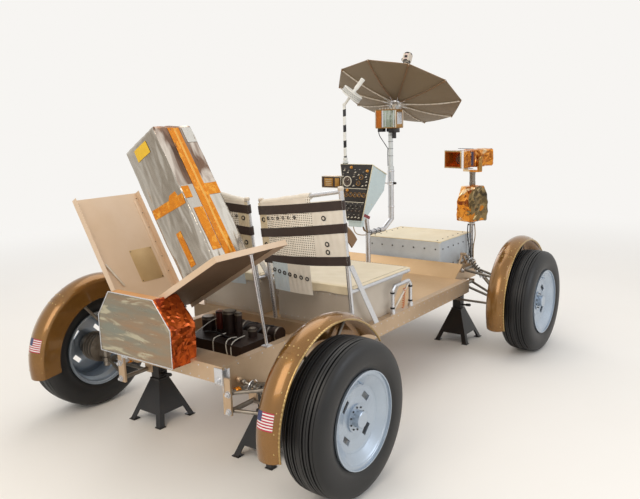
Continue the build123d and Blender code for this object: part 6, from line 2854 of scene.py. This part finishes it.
@dataclass
class TVCamera:
    """Television camera: crinkled film wraps, hood, bands, fork trim and fixed leads."""

    axis: tuple[float, float] = (1.41, -0.345)
    height: float = 1.312
    yaw: float = 163.5
    unit_wide: float = 0.138

    def view(self, along: float, left: float, up: float) -> Matrix:
        """Return a place in the camera's own frame: Z along its view, X to its left, Y down.

        Args:
            along: Distance along the view from the pan axis.
            left: Distance to the camera's left.
            up: Distance above the tilt axis.

        Returns:
            A matrix.
        """
        turn = math.radians(self.yaw)
        ahead = Vector((math.cos(turn), math.sin(turn), 0.0))
        side = Vector((-math.sin(turn), math.cos(turn), 0.0))
        spot = Vector((*self.axis, self.height)) + ahead * along + side * left + Vector((0, 0, up))
        return basis(tuple(spot), tuple(side), tuple(ahead))

    def ring(
        self, along: float, level: Point, upright: Point, reach: tuple[float, float],
        edge: float = 0.0008, rounds: int = 1
    ) -> list[Piece]:
        """Model four plates that stand round the line of view.

        Args:
            along: Distance of their middles along the view.
            level: Size of the two level plates.
            upright: Size of the two upright plates.
            reach: How far the upright ones stand aside and the level ones up.
            edge: Width of their bevels.
            rounds: Segments of the bevels.

        Returns:
            The four plates.
        """
        left, up = reach
        rows = ((level, 0.0, up), (level, 0.0, -up), (upright, left, 0.0), (upright, -left, 0.0))
        return [
            add_block("plate", size, self.view(along, x, z), edge, rounds) for size, x, z in rows
        ]

    def unit(self) -> None:
        """Wrap the control unit in crinkled gold film, its side away from the light in painted
        shade.
        """
        turn = math.radians(self.yaw)
        side = (-math.sin(turn), math.cos(turn), 0.0)
        foot = Vector((*self.axis, 0.0)) - Vector(side) * self.unit_wide / 2
        outline = [
            (-0.097, 0.838), (0.097, 0.838), (0.097, 0.985), (0.053, 1.101), (-0.061, 1.101),
            (-0.097, 1.01)
        ]
        ahead = Vector((math.cos(turn), math.sin(turn), 0.0))
        upward = Matrix((ahead, Vector((0, 0, 1)), ahead.cross(Vector((0, 0, 1))))).transposed()
        place = Matrix.Translation(foot) @ upward.to_4x4()
        if ahead.cross(Vector((0, 0, 1))).dot(Vector(side)) < 0.0:
            place = Matrix.Translation(foot + Vector(side) * self.unit_wide) @ upward.to_4x4()
        wrap = add_prism("control_unit_gold_wrap", outline, place, self.unit_wide, 0.01)
        modify(wrap, "REMESH", mode="VOXEL", voxel_size=0.006)
        crumple(wrap, 0.075, 0.0135, 21.0, 0.35)
        facet(wrap, 0.055, 5.0)
        paint(wrap, GOLD_FILM)
        # Faces on the unit's side away from the light take the olive film: painted shade
        wrap.data.materials.append(OLIVE_SHADE_FILM.material())
        for face in wrap.data.polygons:
            if (face.center - Vector((*self.axis, 0.0))).dot(Vector(side)) > 0.05:
                face.material_index = 1
        hand_over(wrap, "tv_pan_unit")
        neck = add_round(
            "fork_neck_sleeve", [
                (0.0214, 0.0), (0.023, 0.004), (0.023, 0.03), (0.0214, 0.032), (0.0214, 0.088),
                (0.0235, 0.092), (0.0235, 0.104)
            ], moved(*self.axis, 1.104), 32
        )
        deliver(neck, PLATED_STEEL, "tv_pan_unit")
        ears = []
        for left in (-0.0745, 0.0745):
            ears.append(add_block(
                "ear", (0.003, 0.104, 0.04), self.view(0.0, left, -0.044), 0.001, 2
            ))
            ears.append(add_round(
                "boss", [(0.016, 0.0), (0.016, 0.005), (0.009, 0.008), (0.009, 0.011)],
                self.view(0.0, left, 0.0) @ Matrix.Rotation(
                    math.copysign(math.pi / 2, left), 4, "Y"
                ), 20
            ))
        ears.append(add_block("plate", (0.15, 0.003, 0.028), self.view(0.0, 0.0, -0.091), 0.001, 2))
        deliver(
            join("fork_gold_ears", ears), GOLD_PLATE, "tv_pan_unit", outward=True
        )

    def body(self) -> None:
        """Wrap the camera's body in crinkled film and dress its hood."""
        wrap = add_block(
            "camera_gold_wrap", (0.118, 0.128, 0.214), self.view(-0.064, 0.0, 0.0), 0.01, 2
        )
        modify(wrap, "REMESH", mode="VOXEL", voxel_size=0.0056)
        crumple(wrap, 0.05, 0.0085, 31.0, 0.35)
        facet(wrap, 0.075, 6.0)
        deliver(wrap, GOLD_FILM, "tv_head")
        shade = self.ring(
            0.1645, (0.16, 0.005, 0.113), (0.005, 0.12, 0.113), (0.078, 0.059), 0.0008, 2
        )
        hood = join("hood_gold_sides", shade)
        modify(hood, "REMESH", mode="VOXEL", voxel_size=0.0034)
        crumple(hood, 0.035, 0.0028, 9.0, 0.4)
        facet(hood, 0.16, 6.0)
        deliver(hood, GOLD_FILM, "tv_head")
        lining = self.ring(
            0.165, (0.142, 0.001, 0.108), (0.001, 0.104, 0.108), (0.0708, 0.0518), 0.0002
        )
        lining.append(add_turned(
            "back", [(-0.1122, 0.0415), (-0.1122, 0.07), (-0.1136, 0.07), (-0.1136, 0.0415)],
            self.view(0.0, 0.0, 0.0) @ AXIS_Z @ Matrix.Scale(0.73, 4, (0, 0, 1)), 32
        ))
        deliver(
            join("hood_amber_lining", lining), HOOD_ORANGE, "tv_head", outward=True
        )
        wide, high = 0.0765, 0.0575
        mouth = ((-wide, high), (wide, high), (wide, -high), (-wide, -high))
        corners = [tuple(self.view(0.2205, *corner).translation) for corner in mouth]
        deliver(add_frame("hood_bright_lip", corners, 0.003), FENDER_TRIM, "tv_head")
        bands = []
        for finish, plates in (
            (
                FLAG_WHITE,
                self.ring(0.207, (0.169, 0.003, 0.022), (0.003, 0.128, 0.022), (0.0825, 0.0635))
            ), (
                PURPLE_BAND,
                self.ring(0.08, (0.1352, 0.003, 0.022), (0.003, 0.1024, 0.022), (0.066, 0.07239))
            )
        ):
            bands += [paint(plate, finish) for plate in plates]
        backing = add_block("backing", (0.152, 0.114, 0.004), self.view(0.1065, 0.0, 0.0), 0.001, 1)
        bands.append(paint(backing, FLAG_WHITE))
        hand_over(join("camera_bands", bands), "tv_head")
        lens = add_turned(
            "camera_lens", [
                (-0.141, 0.004), (-0.141, 0.031), (-0.144, 0.036), (-0.144, 0.0395),
                (-0.13, 0.0415), (-0.115, 0.0415), (-0.115, 0.004)
            ], self.view(0.0, 0.0, 0.0) @ AXIS_Z, 40
        )
        deliver(lens, CONSOLE_BLACK, "tv_head", outward=True)
        glass = add_turned(
            "lens_glass", [
                (-0.1412, 0.0006), (-0.145, 0.0006), (-0.1442, 0.016), (-0.1418, 0.03),
                (-0.1408, 0.03)
            ], self.view(0.0, 0.0, 0.0) @ AXIS_Z, 36
        )
        deliver(glass, DIAL_GLASS, "tv_head", outward=True)

    def leads(self) -> None:
        """Lay the dark and amber leads from the control unit's foot down the post."""
        x, y = self.axis
        dark = [
            add_lead(
                "lead", [
                    (x - 0.018, y + 0.022, 0.812), (x - 0.026, y + 0.026, 0.74),
                    (x - 0.014, y + 0.014, 0.66), (x - 0.012, y + 0.012, 0.56),
                    (x - 0.02, y + 0.02, 0.526)
                ], 0.004, 12
            ), add_lead(
                "lead", [
                    (x - 0.024, y + 0.004, 0.812), (x - 0.034, y + 0.002, 0.73),
                    (x - 0.0165, y + 0.002, 0.64), (x - 0.0165, y, 0.56),
                    (x - 0.026, y - 0.002, 0.526)
                ], 0.003, 12
            )
        ]
        for z in (0.655, 0.565):
            dark.append(add_loop("tie", moved(x - 0.003, y + 0.003, z), 0.0205, 0.0016, 24, 6))
        deliver(join("post_dark_leads", dark), BLACK_CABLE)
        amber = add_lead(
            "post_amber_lead", [
                (x - 0.004, y - 0.024, 0.812), (x - 0.006, y - 0.036, 0.73),
                (x - 0.004, y - 0.0175, 0.65), (x - 0.004, y - 0.017, 0.57),
                (x - 0.004, y - 0.018, 0.528)
            ], 0.0038, 12
        )
        deliver(amber, GOLD_CABLE)
        rings = []
        for z, radius in ((0.806, 0.025), (0.826, 0.025), (0.529, 0.019)):
            rings.append(add_loop("ring", moved(x, y, z), radius - 0.001, 0.0024, 32, 8))
        bolt = add_round("bolt", [(0.0048, 0.0), (0.0048, 0.0036), (0.0026, 0.0044)], HERE, 6)
        places = [moved(x + dx, y + dy, 0.5278) for dx in (-0.027, 0.027) for dy in (-0.012, 0.012)]
        rings.append(copies("bolts", bolt, places))
        deliver(join("post_rings_and_bolts", rings), PLATED_STEEL)

    def build(self) -> None:
        """Build the camera's dressing."""
        self.unit()
        self.body()
        self.leads()


@dataclass
class Suspension(Corner):
    """Running gear of one corner: coil spring, pivot nuts, kingpin caps and drum bolts."""

    kingpin_y: float = 0.78
    pivot_y: float = 0.392
    coil_radius: float = 0.0205
    coil_wire: float = 0.0034

    def damper(self) -> tuple[Point, Point]:
        """Return the damper's upper and lower ball."""
        if self.front > 0:
            return (1.242, self.side * 0.389, 0.59), (1.158, self.side * 0.69, 0.33)
        return (-1.24, self.side * 0.402, 0.428), (-1.158, self.side * 0.69, 0.3143)

    def spring(self) -> None:
        """Wind the coil spring round the damper, between its two cups."""
        top, foot = self.damper()
        length = (Vector(foot) - Vector(top)).length
        place = aim(top, foot)
        low, high = 0.04, 0.46 * length
        turns = 7 if self.front > 0 else 6
        points = []
        for step in range(turns * 10 + 1):
            angle = math.radians(step * 36.0)
            along = low + (high - low) * step / (turns * 10)
            spot = Vector((
                self.coil_radius * math.cos(angle), self.coil_radius * math.sin(angle), along
            ))
            points.append(tuple(place @ spot))
        coil = add_lead(f"{self.corner}_coil_spring", points, self.coil_wire, 8)
        deliver(coil, SPRING_STEEL)
        cups = []
        for along in (low - 0.006, high):
            cups.append(add_round(
                "cup", [(0.014, 0.0), (0.0262, 0.001), (0.0262, 0.005), (0.015, 0.006)],
                place @ moved(0.0, 0.0, along), 28
            ))
        cups.append(add_round(
            "seal", [(0.013, 0.0), (0.0152, 0.002), (0.0152, 0.012), (0.0134, 0.014)],
            place @ moved(0.0, 0.0, length * 0.5), 24
        ))
        deliver(join(f"{self.corner}_spring_cups", cups), BRIGHT_TUBE, outward=True)

    def pivots(self) -> None:
        """Fit the nuts and washers of the arms' pivot pins."""
        heights = (0.385, 0.5) if self.front > 0 else (0.31, 0.395)
        parts = []
        for z in heights:
            for x, way in ((1.153, -1.0), (1.337, 1.0)):
                if self.front < 0 and way > 0:
                    continue
                start = (self.front * x, self.side * self.pivot_y, z)
                end = (self.front * (x + way), self.side * self.pivot_y, z)
                parts.append(add_round(
                    "nut", [(0.011, 0.0), (0.011, 0.007), (0.007, 0.009), (0.007, 0.013)],
                    aim(start, end), 6
                ))
                parts.append(add_loop("washer", aim(start, end), 0.0135, 0.0018, 24, 6))
        deliver(join(f"{self.corner}_pivot_nuts", parts), BRIGHT_TUBE, outward=True)

    def kingpin(self) -> None:
        """Cap the kingpin at both ends and bolt the drive drum's inner face."""
        x, y = self.front * self.axle_x, self.side * self.kingpin_y
        cap = [(0.019, 0.0), (0.0205, 0.002), (0.0205, 0.007), (0.015, 0.012), (0.007, 0.014)]
        parts = [
            add_round("cap", cap, moved(x, y, 0.498), 28),
            add_round("cap", cap, aim((x, y, 0.258), (x, y, -1.0)), 28)
        ]
        bolt = add_round("bolt", [(0.0062, -0.001), (0.0062, 0.0045), (0.0034, 0.0054)], HERE, 6)
        places = []
        for number in range(8):
            angle = math.radians(45.0 * number + 22.5)
            spot = (
                x + 0.07 * math.cos(angle), self.side * 0.812, self.hub_z + 0.07 * math.sin(angle)
            )
            places.append(aim(spot, (spot[0], 0.0, spot[2])))
        parts.append(copies("bolts", bolt, places))
        hub = moved(x, 0.0, self.hub_z) @ Matrix.Diagonal((1.0, self.side, 1.0, 1.0))
        for across in (0.832, 0.856, 0.88):
            parts.append(add_turned(
                "rib", [
                    (across - 0.0035, 0.081), (across - 0.002, 0.0855), (across + 0.002, 0.0855),
                    (across + 0.0035, 0.081)
                ], hub, 48
            ))
        deliver(
            join(f"{self.corner}_kingpin_caps_and_bolts", parts), PLATED_STEEL,
            f"{self.corner}_upright", outward=True
        )

    def build(self) -> None:
        """Build the corner's running gear."""
        self.spring()
        self.pivots()
        self.kingpin()


@dataclass
class Stands:
    """The four axle stands: ratchet teeth, foot plates and lever grips."""

    reach_x: float = 1.08
    reach_y: float = 0.395
    foot_reach: float = 0.108
    shell_top: float = 0.235
    saddles: tuple[float, float] = (0.4, 0.3445)

    def build(self) -> None:
        """Model what the four stands carry, each stand's trim as one piece."""
        for front, saddle in ((1, self.saddles[0]), (-1, self.saddles[1])):
            for side in (1, -1):
                self.trim(front, side, saddle)

    def trim(self, front: int, side: int, saddle: float) -> None:
        """Model one stand's trim.

        Args:
            front: 1 in front, -1 behind.
            side: 1 on the left, -1 on the right.
            saddle: Height of the saddle's top.
        """
        x, y = front * self.reach_x, side * self.reach_y
        tooth = add_block("tooth", (0.04, 0.006, 0.008), HERE, 0.002, 1)
        places = []
        height = self.shell_top + 0.012
        while height < saddle - 0.02:
            for way in (-1, 1):
                places.append(moved(x, y + way * 0.0305, height))
            height += 0.0155
        parts = [copies("teeth", tooth, places)]
        for dx in (-self.foot_reach, self.foot_reach):
            for dy in (-self.foot_reach, self.foot_reach):
                parts.append(add_block(
                    "plate", (0.044, 0.044, 0.005), moved(x + dx, y + dy, 0.0026), 0.0012, 1
                ))
        collar = add_block(
            "collar", (0.076, 0.076, 0.014), moved(x, y, self.shell_top - 0.004), 0.003, 2
        )
        parts.append(collar)
        lever = self.shell_top + 0.03
        parts.append(add_round(
            "grip", [(0.0074, 0.0), (0.0098, 0.002), (0.0104, 0.03), (0.0086, 0.034)],
            aim((x, y - 0.062, lever - 0.0024), (x, y - 1.0, lever + 0.076)), 20
        ))
        rear = "front" if front > 0 else "rear"
        hand = "left" if side > 0 else "right"
        deliver(join(f"{rear}_{hand}_stand_trim", parts), STAND_ENAMEL, outward=True)


def main() -> None:
    """Build the studio and dress the rover, sub-assembly by sub-assembly."""
    logging.basicConfig(level=logging.INFO, format="%(name)s: %(message)s")
    Studio().build()
    dress_nodes()
    for corner, front, side in (
        ("front_left", 1, 1), ("front_right", 1, -1), ("rear_left", -1, 1), ("rear_right", -1, -1)
    ):
        Wheel(corner, front, side).build()
        Fender(corner, front, side).build()
        Suspension(corner, front, side).build()
    Stands().build()
    for side in (1, -1):
        Seat(side).build()
    Pallet().build()
    Deck().build()
    Console().build()
    HighGain().build()
    LowGain().build()
    TVCamera().build()
    clear_selection()


if __name__ == "__main__":
    main()
